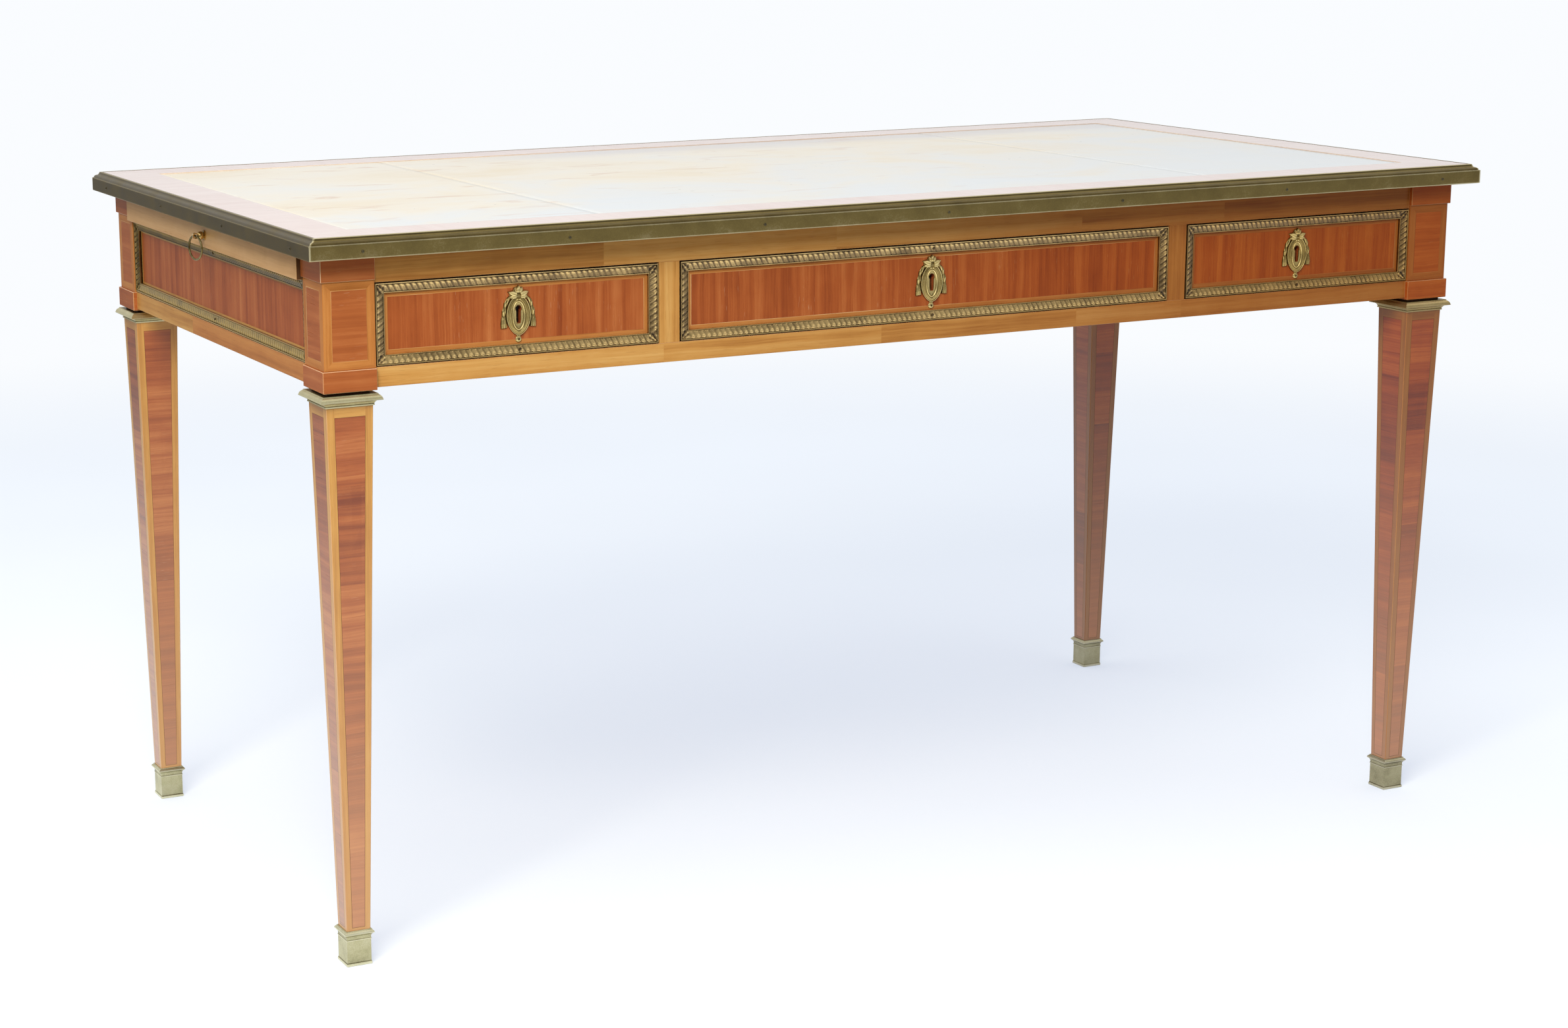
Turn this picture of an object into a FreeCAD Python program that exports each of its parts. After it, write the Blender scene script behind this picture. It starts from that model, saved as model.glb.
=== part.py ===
"""Bureau plat: a flat writing desk with three frieze drawers and a writing slide at each end.

Millimetres. +Z is up, the drawers open towards -Y, and the length runs along X.
The origin is on the floor, under the middle of the top.
"""
import FreeCAD
import os
from types import SimpleNamespace
from FreeCAD import Rotation, Vector

SIZES = {
    # Top: brass edge, cross-banded border and leather on a board
    "top_length": 1460,
    "top_depth": 750,
    "top_height": 770,
    "end_overhang": 20,
    "front_overhang": 25,
    "edge_height": 22,
    "edge_width": 10,
    "fascia_height": 15.5,
    "veneer_thickness": 2.5,
    "leather_thickness": 1.8,
    "border_width": 53,
    "leather_end_width": 283,
    # Round-headed pins along the brass edge
    "pin_radius": 0.8,
    "pin_head_radius": 1.7,
    "pin_head_height": 0.9,
    "pin_bite": 8,
    "pin_level": 7.5,
    "pin_corner_distance": 56,
    # Screws that hold the top down
    "screw_radius": 2,
    "screw_head_radius": 4,
    "screw_head_height": 3,
    "screw_bite": 12,
    "hole_clearance": 0.1,
    # Corner posts and tapered legs
    "post_width": 58,
    "post_relief": 2.4,
    "post_block_top": 25,
    "post_block_bottom": 22,
    "post_drop": 2,
    "leg_top_width": 50.5,
    "leg_foot_width": 26.2,
    "neck_inset": 2.5,
    # Brass collars under the posts
    "collar_shadow_gap": 3,
    "collar_fillet": 0.8,
    "collar_fillet_height": 2.4,
    "collar_projection": 8.2,
    "collar_cove_height": 3.6,
    "collar_lip_height": 1.2,
    "collar_ovolo_height": 5.4,
    "collar_ovolo_setback": 4,
    # Brass sabots on the feet
    "sabot_wall": 1.8,
    "sabot_skin": 0.3,
    "sabot_floor": 3,
    "sabot_base_height": 3.5,
    "sabot_base_projection": 0.7,
    "sabot_body_height": 26,
    "sabot_cove_height": 5.5,
    "sabot_lip_projection": 3.1,
    "sabot_lip_height": 1.3,
    "sabot_cap_height": 2.7,
    "sabot_cap_setback": 2.2,
    # Apron: rails, dividers and boards, tenoned together
    "apron_height": 134.5,
    "apron_setback": 4.4,
    "apron_thickness": 22,
    "top_rail_height": 28.5,
    "bottom_rail_height": 20.5,
    "middle_opening": 620,
    "divider_width": 24,
    "tenon_length": 22,
    "tenon_thickness": 10,
    "tenon_shoulder": 5,
    "stub_tenon_length": 8,
    # Brass leaf frames
    "frame_width": 10,
    "frame_depth": 6.5,
    "frame_inner_depth": 3.5,
    "frame_proud": 1.5,
    # Drawers and what they run on
    "drawer_gap": 1.3,
    "drawer_front_thickness": 16,
    "drawer_side_thickness": 11,
    "drawer_side_gap": 2,
    "drawer_run_gap": 0.6,
    "drawer_head_gap": 3,
    "drawer_back_thickness": 10,
    "drawer_back_drop": 5,
    "drawer_bottom_thickness": 7,
    "drawer_bottom_lift": 8,
    "drawer_groove": 5,
    "drawer_rear_space": 86,
    "tail_length": 10,
    "tail_width": 14,
    "tail_flare": 2,
    "runner_height": 14,
    "runner_ledge": 16,
    # Locks and escutcheons
    "lock_width": 52,
    "lock_height": 56,
    "lock_depth": 10,
    "bolt_width": 22,
    "bolt_thickness": 5,
    "bolt_height": 30,
    "bolt_throw": 8,
    "bolt_clearance": 0.4,
    "bolt_setback": 0.5,
    "keyhole_lift": 4.9,
    "keyhole_radius": 3.4,
    "keyhole_slot_width": 5,
    "keyhole_slot_height": 15,
    "keyhole_depth_in_lock": 1.5,
    "escutcheon_thickness": 2.6,
    "escutcheon_height": 58,
    "escutcheon_width": 38.5,
    "escutcheon_oval_height": 43,
    "escutcheon_oval_width": 29,
    "escutcheon_rim_width": 4,
    "escutcheon_rim_height": 1.2,
    "escutcheon_boss_radius": 5,
    "escutcheon_bow_height": 9,
    "escutcheon_husk_height": 24,
    # Writing slides above the drawers
    "slide_clearance": 0.5,
    "slide_side_gap": 1,
    "slide_thickness": 20,
    "slide_lip_thickness": 18,
    "slide_projection": 8.4,
    "slide_top_gap": 0.8,
    "slide_centre_gap": 100,
    "bearer_thickness": 11.5,
    "bearer_ledge": 21,
    # Ring pulls on the slides
    "pull_base_radius": 5.5,
    "pull_base_thickness": 1.5,
    "pull_ball_radius": 4.5,
    "pull_ball_distance": 4.6,
    "pull_eye_distance": 10.8,
    "pull_eye_radius": 3.2,
    "pull_eye_thickness": 4,
    "pull_hole_radius": 1.8,
    "pull_shank_radius": 1.7,
    "pull_shank_length": 14,
    "ring_radius": 13,
    "ring_wire_radius": 1.1,
}
LONG_SIDE_PINS = 7
SHORT_SIDE_PINS = 4
SCREWS_PER_BEARER = 4
TAILS_PER_SIDE = 3
# Degrees that each ring hangs turned, its rear side further out
RING_TURN = 14

SIDES = {"left": -1, "right": 1}
ROWS = {"front": -1, "rear": 1}
# Turn about Z that points a frame's face outwards on each side of the desk
FACING = {"front": 0, "right": 90, "back": 180, "left": 270}
UPRIGHT = Rotation(Vector(1, 0, 0), 90)
ALONG_X = Rotation(Vector(0, 1, 0), 90)
ALONG_Y = Rotation(Vector(1, 0, 0), -90)
ALONG_Z = Rotation()
FORWARDS = Rotation(Vector(1, 0, 1), 180)

doc = FreeCAD.newDocument("bureau_plat")
nodes = []


class Size:
    """A length: the sheet expression that drives it, and its value now."""

    def __init__(self, text, value):
        self.text = text
        self.value = value

    @staticmethod
    def of(number):
        return number if isinstance(number, Size) else Size(repr(float(number)), float(number))

    def __add__(self, other):
        other = Size.of(other)
        return Size(f"({self.text} + {other.text})", self.value + other.value)

    def __sub__(self, other):
        other = Size.of(other)
        return Size(f"({self.text} - {other.text})", self.value - other.value)

    def __mul__(self, other):
        other = Size.of(other)
        return Size(f"({self.text} * {other.text})", self.value * other.value)

    def __truediv__(self, other):
        other = Size.of(other)
        return Size(f"({self.text} / {other.text})", self.value / other.value)

    def __neg__(self):
        return Size(f"(-1 * {self.text})", -self.value)

    __radd__ = __add__
    __rmul__ = __mul__


def fill_sheet():
    """Write the driving sizes into the sheet and hand them back by name."""
    sheet = doc.addObject("Spreadsheet::Sheet", "dims")
    for row, (alias, value) in enumerate(SIZES.items(), start=1):
        sheet.set(f"A{row}", alias)
        sheet.set(f"B{row}", str(value))
        sheet.setAlias(f"B{row}", alias)
    doc.recompute()
    return SimpleNamespace(**{alias: Size(f"dims.{alias}", sheet.get(alias)) for alias in SIZES})


def bind(obj, **sizes):
    for name, length in sizes.items():
        obj.setExpression(name, Size.of(length).text)
    return obj


def place(obj, x, y, z, rotation=ALONG_Z):
    obj.Placement = FreeCAD.Placement(Vector(), rotation)
    for axis, length in zip("xyz", (x, y, z)):
        obj.setExpression(f"Placement.Base.{axis}", Size.of(length).text)
    return obj


def node(obj, name):
    """Register a finished sub-part under the name of its file."""
    obj.Label = name
    nodes.append(obj)
    return obj


def box(name, x, y, z):
    """A block between the low and high ends given for each axis."""
    block = doc.addObject("Part::Box", name)
    (x0, x1), (y0, y1), (z0, z1) = [[Size.of(end) for end in pair] for pair in (x, y, z)]
    bind(block, Length=x1 - x0, Width=y1 - y0, Height=z1 - z0)
    return place(block, x0, y0, z0)


def span(one_end, other_end):
    """Two ends of a length, the low one first."""
    return (one_end, other_end) if one_end.value <= other_end.value else (other_end, one_end)


def about(centre, width):
    """The low and high ends of a width laid evenly about a centre."""
    return centre - width / 2, centre + width / 2


def cylinder(name, radius, length, start, rotation=ALONG_Z):
    rod = doc.addObject("Part::Cylinder", name)
    bind(rod, Radius=radius, Height=length)
    return place(rod, *start, rotation)


def cone(name, radius_low, radius_high, length, start, rotation=ALONG_Z):
    frustum = doc.addObject("Part::Cone", name)
    bind(frustum, Radius1=radius_low, Radius2=radius_high, Height=length)
    return place(frustum, *start, rotation)


def taper(name, centre, low, high):
    """A square block that tapers from (level, width) below to (level, width) above."""
    block = doc.addObject("Part::Wedge", name)
    (z0, w0), (z1, w1) = low, high
    bind(block, Ymin=0, Ymax=z1 - z0)
    bind(block, Xmin=-w0 / 2, Xmax=w0 / 2, Zmin=-w0 / 2, Zmax=w0 / 2)
    bind(block, X2min=-w1 / 2, X2max=w1 / 2, Z2min=-w1 / 2, Z2max=w1 / 2)
    return place(block, *centre, z0, UPRIGHT)


def oval(name, height, width, thickness, start):
    """An upright elliptical plate, growing towards the front from its start point."""
    tall = height.value >= width.value
    outline = doc.addObject("Part::Ellipse", name + "_outline")
    bind(outline, MajorRadius=(height if tall else width) / 2, MinorRadius=(width if tall else height) / 2)
    turn = UPRIGHT.multiply(Rotation(Vector(0, 0, 1), 90 if tall else 0))
    place(outline, *start, turn)
    plate = doc.addObject("Part::Extrusion", name)
    plate.Base = outline
    plate.Dir = Vector(0, -1, 0)
    plate.DirMode = "Custom"
    plate.Solid = True
    return bind(plate, LengthFwd=thickness)


def group(name, members):
    bundle = doc.addObject("Part::Compound", name)
    bundle.Links = members
    return bundle


def fuse(name, members):
    union = doc.addObject("Part::MultiFuse", name)
    union.Shapes = members
    union.Refine = True
    return union


def cut(name, base, tools):
    result = doc.addObject("Part::Cut", name)
    result.Base = base
    result.Tool = tools[0] if len(tools) == 1 else group(name + "_tools", tools)
    result.Refine = True
    return result


def mirror(name, source, normal):
    copy = doc.addObject("Part::Mirroring", name)
    copy.Source = source
    copy.Normal = normal
    return copy


def mitred_bar(name, length, width, depth, inner_depth, angle, offset):
    """One side of a frame: its outer edge is full length and its ends are mitred."""
    bar = doc.addObject("Part::Wedge", name)
    half = length / 2
    bind(bar, Ymin=0, Ymax=width, Zmin=0, Zmax=depth, Z2min=0, Z2max=inner_depth)
    bind(bar, Xmin=-half, Xmax=half, X2min=width - half, X2max=half - width)
    turn = Rotation(Vector(0, 0, 1), angle)
    step = turn.multVec(Vector(0, -1, 0))
    return place(bar, offset * round(step.x), offset * round(step.y), 0, turn)


def mitred_bars(name, length, height, width, depth, inner_depth):
    """The bottom, right, top and left bars of a frame that lies flat about the origin."""
    bars = []
    for angle, (along, offset) in zip((0, 90, 180, 270), ((length, height), (height, length)) * 2):
        bars.append(mitred_bar(f"{name}_{angle}", along, width, depth, inner_depth, angle, offset / 2))
    return bars


def leaf_frame(name, length, height, centre, side):
    """A brass frame that stands upright and faces out of one side of the desk."""
    bars = mitred_bars(name, length, height, size.frame_width, size.frame_depth, size.frame_inner_depth)
    turn = Rotation(Vector(0, 0, 1), FACING[side]).multiply(UPRIGHT)
    return place(group(name, bars), *centre, turn)


size = fill_sheet()

# Levels, from the floor up
apron_top = size.top_height - size.edge_height
apron_bottom = apron_top - size.apron_height
post_bottom = apron_bottom - size.post_drop
bay_bottom = apron_bottom + size.bottom_rail_height
bay_top = apron_top - size.top_rail_height
bay_level = (bay_bottom + bay_top) / 2
slide_bed = bay_top - size.slide_clearance
bearer_bottom = slide_bed - size.bearer_thickness
bed_level = size.top_height - size.veneer_thickness
collar_height = (size.collar_fillet_height + size.collar_cove_height + size.collar_lip_height
                 + size.collar_ovolo_height)
leg_top = post_bottom - size.collar_shadow_gap - collar_height
sabot_body_top = size.sabot_base_height + size.sabot_body_height
sabot_lip = sabot_body_top + size.sabot_cove_height
sabot_top = sabot_lip + size.sabot_lip_height + size.sabot_cap_height

# Distances from the middle of the desk
post_x = size.top_length / 2 - size.end_overhang
post_y = size.top_depth / 2 - size.front_overhang
inner_x = post_x - size.post_width
inner_y = post_y - size.post_width
leg_x = post_x - size.post_width / 2
leg_y = post_y - size.post_width / 2
end_plane = post_x - size.apron_setback
front_plane = post_y - size.apron_setback
end_inside = end_plane - size.apron_thickness
slide_plane = end_plane + size.slide_projection
front_inside = front_plane - size.apron_thickness
tenon_inset = (size.apron_thickness - size.tenon_thickness) / 2
panel_recess = size.frame_depth - size.frame_proud
panel_plane = front_plane - panel_recess
drawer_front_back = panel_plane - size.drawer_front_thickness
board_x = size.top_length / 2 - size.edge_width
board_y = size.top_depth / 2 - size.edge_width
leather_x = board_x - size.border_width
leather_y = board_y - size.border_width
divider_outer = size.middle_opening / 2 + size.divider_width
divider_centre = size.middle_opening / 2 + size.divider_width / 2
BAYS = {
    "left": (-inner_x, -divider_outer),
    "middle": (-size.middle_opening / 2, size.middle_opening / 2),
    "right": (divider_outer, inner_x),
}


def bay_centre(bay):
    low, high = BAYS[bay]
    return (low + high) / 2


# Tenons: where each rail or board enters the posts, used for the tenon and for its mortise

def length_tenon(name, side, y_sign, low, high):
    """A tenon along X, into the post on the given side."""
    near = inner_x * side
    far = (inner_x + size.tenon_length) * side
    outer = (front_plane - tenon_inset) * y_sign
    inner = (front_inside + tenon_inset) * y_sign
    return box(name, span(near, far), span(outer, inner),
               (low + size.tenon_shoulder, high - size.tenon_shoulder))


def depth_tenon(name, side, y_sign):
    """A tenon along Y, from an end apron into a post."""
    near = inner_y * y_sign
    far = (inner_y + size.tenon_length) * y_sign
    outer = (end_plane - tenon_inset) * side
    inner = (end_inside + tenon_inset) * side
    return box(name, span(outer, inner), span(near, far),
               (apron_bottom + size.tenon_shoulder, slide_bed - size.tenon_shoulder))


def stub_tenon(name, side, level):
    """A short tenon at one end of a drawer divider."""
    y = (-(front_plane - tenon_inset), -(front_inside + tenon_inset))
    return box(name, about(divider_centre * side, size.tenon_thickness), y, level)


def stub_levels():
    return {
        "top": (bay_top, bay_top + size.stub_tenon_length),
        "bottom": (bay_bottom - size.stub_tenon_length, bay_bottom),
    }


RAILS = {"top": (bay_top, apron_top), "bottom": (apron_bottom, bay_bottom)}


# Legs, collars and sabots

def leg(row, y_sign):
    """A left-hand leg: panelled post, neck inside the collar, taper, and stub inside the sabot."""
    name = f"leg_{row}_left"
    x_full = (-post_x, -inner_x)
    x_panel = (-(post_x - size.post_relief), -inner_x)
    y_full = span(post_y * y_sign, inner_y * y_sign)
    y_panel = span((post_y - size.post_relief) * y_sign, inner_y * y_sign)
    panel_top = apron_top - size.post_block_top
    panel_bottom = post_bottom + size.post_block_bottom
    centre = (-leg_x, leg_y * y_sign)
    neck_width = size.leg_top_width - size.neck_inset * 2
    stub_width = size.leg_foot_width - size.sabot_wall * 2
    pieces = [
        box(name + "_top_block", x_full, y_full, (panel_top, apron_top)),
        box(name + "_panel", x_panel, y_panel, (panel_bottom, panel_top)),
        box(name + "_bottom_block", x_full, y_full, (post_bottom, panel_bottom)),
        taper(name + "_neck", centre, (leg_top, neck_width), (post_bottom, neck_width)),
        taper(name + "_taper", centre, (sabot_top, size.leg_foot_width), (leg_top, size.leg_top_width)),
        taper(name + "_stub", centre, (size.sabot_floor, stub_width), (sabot_top, stub_width)),
    ]
    mortises = [depth_tenon(name + "_end_mortise", -1, y_sign)]
    if row == "front":
        for rail, (low, high) in RAILS.items():
            mortises.append(length_tenon(f"{name}_{rail}_mortise", -1, y_sign, low, high))
    else:
        mortises.append(length_tenon(name + "_back_mortise", -1, y_sign, apron_bottom, apron_top))
    return cut(name, fuse(name + "_blank", pieces), mortises)


def collar(row, y_sign):
    """A moulded square ring: fillet, cove, lip and ovolo, around the neck of the leg."""
    name = f"leg_collar_{row}_left"
    centre = (-leg_x, leg_y * y_sign)
    foot = size.leg_top_width + size.collar_fillet * 2
    lip = size.leg_top_width + size.collar_projection * 2
    crown = lip - size.collar_ovolo_setback * 2
    cove_bottom = leg_top + size.collar_fillet_height
    lip_bottom = cove_bottom + size.collar_cove_height
    lip_top = lip_bottom + size.collar_lip_height
    top = leg_top + collar_height
    neck_width = size.leg_top_width - size.neck_inset * 2
    pieces = [
        taper(name + "_fillet", centre, (leg_top, foot), (cove_bottom, foot)),
        taper(name + "_cove", centre, (cove_bottom, foot), (lip_bottom, lip)),
        taper(name + "_lip", centre, (lip_bottom, lip), (lip_top, lip)),
        taper(name + "_ovolo", centre, (lip_top, lip), (top, crown)),
    ]
    bore = taper(name + "_bore", centre, (leg_top, neck_width), (top, neck_width))
    return cut(name, fuse(name + "_blank", pieces), [bore])


def sabot(row, y_sign):
    """A cast shoe: base, body, cove, lip and cap, hollow for the stub of the leg."""
    name = f"sabot_{row}_left"
    centre = (-leg_x, leg_y * y_sign)
    body = size.leg_foot_width + size.sabot_skin * 2
    base = body + size.sabot_base_projection * 2
    lip = body + size.sabot_lip_projection * 2
    cap = lip - size.sabot_cap_setback * 2
    lip_top = sabot_lip + size.sabot_lip_height
    stub_width = size.leg_foot_width - size.sabot_wall * 2
    pieces = [
        taper(name + "_base", centre, (Size.of(0), base), (size.sabot_base_height, base)),
        taper(name + "_body", centre, (size.sabot_base_height, body), (sabot_body_top, body)),
        taper(name + "_cove", centre, (sabot_body_top, body), (sabot_lip, lip)),
        taper(name + "_lip", centre, (sabot_lip, lip), (lip_top, lip)),
        taper(name + "_cap", centre, (lip_top, lip), (sabot_top, cap)),
    ]
    hollow = taper(name + "_hollow", centre, (size.sabot_floor, stub_width), (sabot_top, stub_width))
    return cut(name, fuse(name + "_blank", pieces), [hollow])


def make_legs():
    for row, y_sign in ROWS.items():
        for make in (leg, collar, sabot):
            left = make(row, y_sign)
            right_name = left.Name.replace("_left", "_right")
            node(left, left.Name)
            node(mirror(right_name, left, Vector(1, 0, 0)), right_name)


# Apron

def front_rail(rail):
    """A front rail with a tenon at each end, mortised for the dividers."""
    name = f"front_{rail}_rail"
    low, high = RAILS[rail]
    body = box(name + "_body", (-inner_x, inner_x), (-front_plane, -front_inside), (low, high))
    tenons = [length_tenon(f"{name}_{side}_tenon", sign, -1, low, high) for side, sign in SIDES.items()]
    level = stub_levels()[rail]
    mortises = [stub_tenon(f"{name}_{side}_mortise", sign, level) for side, sign in SIDES.items()]
    if rail == "top":
        mortises += [bolt_mortise(bay) for bay in BAYS]
    return node(cut(name, fuse(name + "_blank", [body] + tenons), mortises), name)


def drawer_dividers():
    stiles = []
    for side, sign in SIDES.items():
        name = f"divider_{side}"
        x = about(divider_centre * sign, size.divider_width)
        pieces = [box(name + "_body", x, (-front_plane, -front_inside), (bay_bottom, bay_top))]
        for end, level in stub_levels().items():
            pieces.append(stub_tenon(f"{name}_{end}_tenon", sign, level))
        stiles.append(fuse(name, pieces))
    return node(group("drawer_dividers", stiles), "drawer_dividers")


def back_apron():
    """One board, sunk behind three panels that match the drawer fronts."""
    name = "back_apron"
    body = box(name + "_body", (-inner_x, inner_x), (front_inside, front_plane), (apron_bottom, apron_top))
    tenons = [length_tenon(f"{name}_{side}_tenon", sign, 1, apron_bottom, apron_top)
              for side, sign in SIDES.items()]
    sinkings = [box(f"{name}_{bay}_sinking", x, (panel_plane, front_plane), (bay_bottom, bay_top))
                for bay, x in BAYS.items()]
    return node(cut(name, fuse(name + "_blank", [body] + tenons), sinkings), name)


def end_apron(side):
    """The board under a writing slide, sunk behind one framed panel."""
    sign = SIDES[side]
    name = f"end_apron_{side}"
    x = span(end_plane * sign, end_inside * sign)
    body = box(name + "_body", x, (-inner_y, inner_y), (apron_bottom, slide_bed))
    tenons = [depth_tenon(f"{name}_{row}_tenon", sign, y_sign) for row, y_sign in ROWS.items()]
    sunk = span(end_plane * sign, (end_plane - panel_recess) * sign)
    sinking = box(name + "_sinking", sunk, (-inner_y, inner_y), (bay_bottom, slide_bed))
    return node(cut(name, fuse(name + "_blank", [body] + tenons), [sinking]), name)


def bay_frame(name, bay, side):
    """The brass frame of one drawer front, or of the matching panel at the back."""
    low, high = BAYS[bay]
    gaps = size.drawer_gap * 2
    y = -panel_plane if side == "front" else panel_plane
    centre = (bay_centre(bay), y, bay_level)
    return leaf_frame(name, high - low - gaps, bay_top - bay_bottom - gaps, centre, side)


def end_frame(side):
    name = f"end_frame_{side}"
    gaps = size.drawer_gap * 2
    x = (end_plane - panel_recess) * SIDES[side]
    frame = leaf_frame(name, inner_y * 2 - gaps, bay_top - bay_bottom - gaps, (x, 0, bay_level), side)
    return node(frame, name)


def back_frames():
    frames = [bay_frame(f"back_frame_{bay}", bay, "back") for bay in BAYS]
    return node(group("back_frames", frames), "back_frames")


def drawer_runners():
    """Runners under the drawer sides, with the guides and partitions that keep the drawers straight."""
    pieces = []
    runner_z = (bay_bottom - size.runner_height, bay_bottom)
    for side, sign in SIDES.items():
        shared = about(divider_centre * sign, size.divider_width + size.runner_ledge * 2)
        depth = (-front_inside, front_inside)
        pieces.append(box(f"runner_shared_{side}", shared, depth, runner_z))
        partition = about(divider_centre * sign, size.divider_width)
        pieces.append(box(f"partition_{side}", partition, depth, (bay_bottom, bearer_bottom)))
        between = (-inner_y, inner_y)
        outer = span(end_inside * sign, (inner_x - size.runner_ledge) * sign)
        pieces.append(box(f"runner_outer_{side}", outer, between, runner_z))
        guide = span(end_inside * sign, inner_x * sign)
        pieces.append(box(f"guide_outer_{side}", guide, between, (bay_bottom, bearer_bottom)))
    return node(group("drawer_runners", pieces), "drawer_runners")


# Top

def top_screws(name, extra):
    """Screws up through the slide bearers; extra widens them into their holes."""
    screws = []
    pitch = inner_x * 2 / SCREWS_PER_BEARER
    y = (inner_y + front_inside) / 2
    length = apron_top + size.screw_bite - bearer_bottom
    for row, y_sign in ROWS.items():
        for count in range(SCREWS_PER_BEARER):
            label = f"{name}_{row}_{count}"
            start = (pitch * (count - (SCREWS_PER_BEARER - 1) / 2), y * y_sign, bearer_bottom)
            shank = cylinder(label + "_shank", size.screw_radius + extra, length + extra, start)
            head = cone(label + "_head", size.screw_head_radius + extra, size.screw_radius + extra,
                        size.screw_head_height + extra, start)
            screws.append(fuse(label, [shank, head]))
    return screws


def edge_pin(name, start, rotation, extra):
    """One pin driven inwards from the fascia, or its hole."""
    length = size.edge_width + size.pin_bite
    return cylinder(name + "_shank", size.pin_radius + extra, length + extra, start, rotation)


def pin_places(side):
    """Start points on the fascia of one side, and the direction in which its pins are driven."""
    level = apron_top + size.pin_level
    count = LONG_SIDE_PINS if side in ("front", "back") else SHORT_SIDE_PINS
    reach = size.top_length if side in ("front", "back") else size.top_depth
    pitch = (reach - size.pin_corner_distance * 2) / (count - 1)
    steps = [pitch * (number - (count - 1) / 2) for number in range(count)]
    face = (size.top_depth if side in ("front", "back") else size.top_length) / 2
    sign = -1 if side in ("front", "left") else 1
    if side in ("front", "back"):
        inwards = Rotation(Vector(1, 0, 0), 90 * sign)
        return [(step, face * sign, level) for step in steps], inwards
    inwards = Rotation(Vector(0, 1, 0), -90 * sign)
    return [(face * sign, step, level) for step in steps], inwards


def edge_pins(name, side, extra):
    """The shanks of one side's pins, widened by extra to cut their holes."""
    starts, inwards = pin_places(side)
    return [edge_pin(f"{name}_{side}_{number}", start, inwards, extra) for number, start in enumerate(starts)]


def top_edge_pins():
    pins = []
    outwards_turn = Rotation(Vector(1, 0, 0), 180)
    for side in FACING:
        starts, inwards = pin_places(side)
        for number, start in enumerate(starts):
            name = f"pin_{side}_{number}"
            shank = edge_pin(name, start, inwards, 0)
            head = cone(name + "_head", size.pin_head_radius, size.pin_radius, size.pin_head_height, start,
                        inwards.multiply(outwards_turn))
            pins.append(fuse(name, [shank, head]))
    return node(group("top_edge_pins", pins), "top_edge_pins")


def top_edges():
    """Four mitred lengths of brass edge: a flat fascia with a sloping moulding above it."""
    bars = mitred_bars("edge", size.top_length, size.top_depth, size.edge_width, size.fascia_height,
                       size.edge_height)
    for side, bar in zip(("front", "right", "back", "left"), bars):
        bar.setExpression("Placement.Base.z", apron_top.text)
        name = f"top_edge_{side}"
        node(cut(name, bar, edge_pins("edge_hole", side, size.hole_clearance)), name)


def top_board():
    body = box("top_board_body", (-board_x, board_x), (-board_y, board_y), (apron_top, bed_level))
    holes = top_screws("board_hole", size.hole_clearance)
    for side in FACING:
        holes += edge_pins("board_pin_hole", side, size.hole_clearance)
    return node(cut("top_board", body, holes), "top_board")


def top_border():
    """Four mitred lengths of cross-banded veneer around the leather."""
    thickness = size.veneer_thickness
    bars = mitred_bars("border", board_x * 2, board_y * 2, size.border_width, thickness, thickness)
    return node(place(group("top_border", bars), 0, 0, bed_level), "top_border")


def top_leather():
    """Three skins, laid side by side inside the border."""
    joint = leather_x - size.leather_end_width
    y = (-leather_y, leather_y)
    z = (bed_level, bed_level + size.leather_thickness)
    skins = [
        box("leather_left", (-leather_x, -joint), y, z),
        box("leather_middle", (-joint, joint), y, z),
        box("leather_right", (joint, leather_x), y, z),
    ]
    return node(group("top_leather", skins), "top_leather")


# Writing slides

def slide_bearers():
    """Ledges that carry the slides and uprights that guide them, screwed to the top."""
    holes = group("bearer_holes", top_screws("bearer_hole", size.hole_clearance))
    pieces = []
    for row, sign in ROWS.items():
        x = (-inner_x, inner_x)
        ledge = span(front_inside * sign, (inner_y - size.bearer_ledge) * sign)
        upright = span(front_inside * sign, inner_y * sign)
        base = box(f"bearer_{row}_base", x, ledge, (bearer_bottom, slide_bed))
        guide = box(f"bearer_{row}_upright", x, upright, (slide_bed, apron_top))
        pieces.append(cut(f"bearer_{row}", base, [holes]))
        pieces.append(cut(f"guide_{row}", guide, [holes]))
    return node(group("slide_bearers", pieces), "slide_bearers")


pull_level = (bay_top + apron_top - size.slide_top_gap) / 2


def slide_board(side):
    """A flat board with a deeper lip, bored for the pull."""
    sign = SIDES[side]
    name = f"slide_{side}_board"
    y = (-(inner_y - size.slide_side_gap), inner_y - size.slide_side_gap)
    lip_inside = slide_plane - size.slide_lip_thickness
    lip_x = span(slide_plane * sign, lip_inside * sign)
    panel_x = span(lip_inside * sign, size.slide_centre_gap * sign)
    lip = box(name + "_lip", lip_x, y, (bay_top, apron_top - size.slide_top_gap))
    panel = box(name + "_panel", panel_x, y, (bay_top, bay_top + size.slide_thickness))
    start = (slide_plane * sign, 0, pull_level)
    hole = cylinder(name + "_hole", size.pull_shank_radius + size.hole_clearance,
                    size.pull_shank_length + size.hole_clearance, start, inwards_along_x(sign))
    return node(group(name, [cut(name + "_bored_lip", lip, [hole]), panel]), name)


def inwards_along_x(sign):
    return Rotation(Vector(0, 1, 0), -90 * sign)


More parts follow.
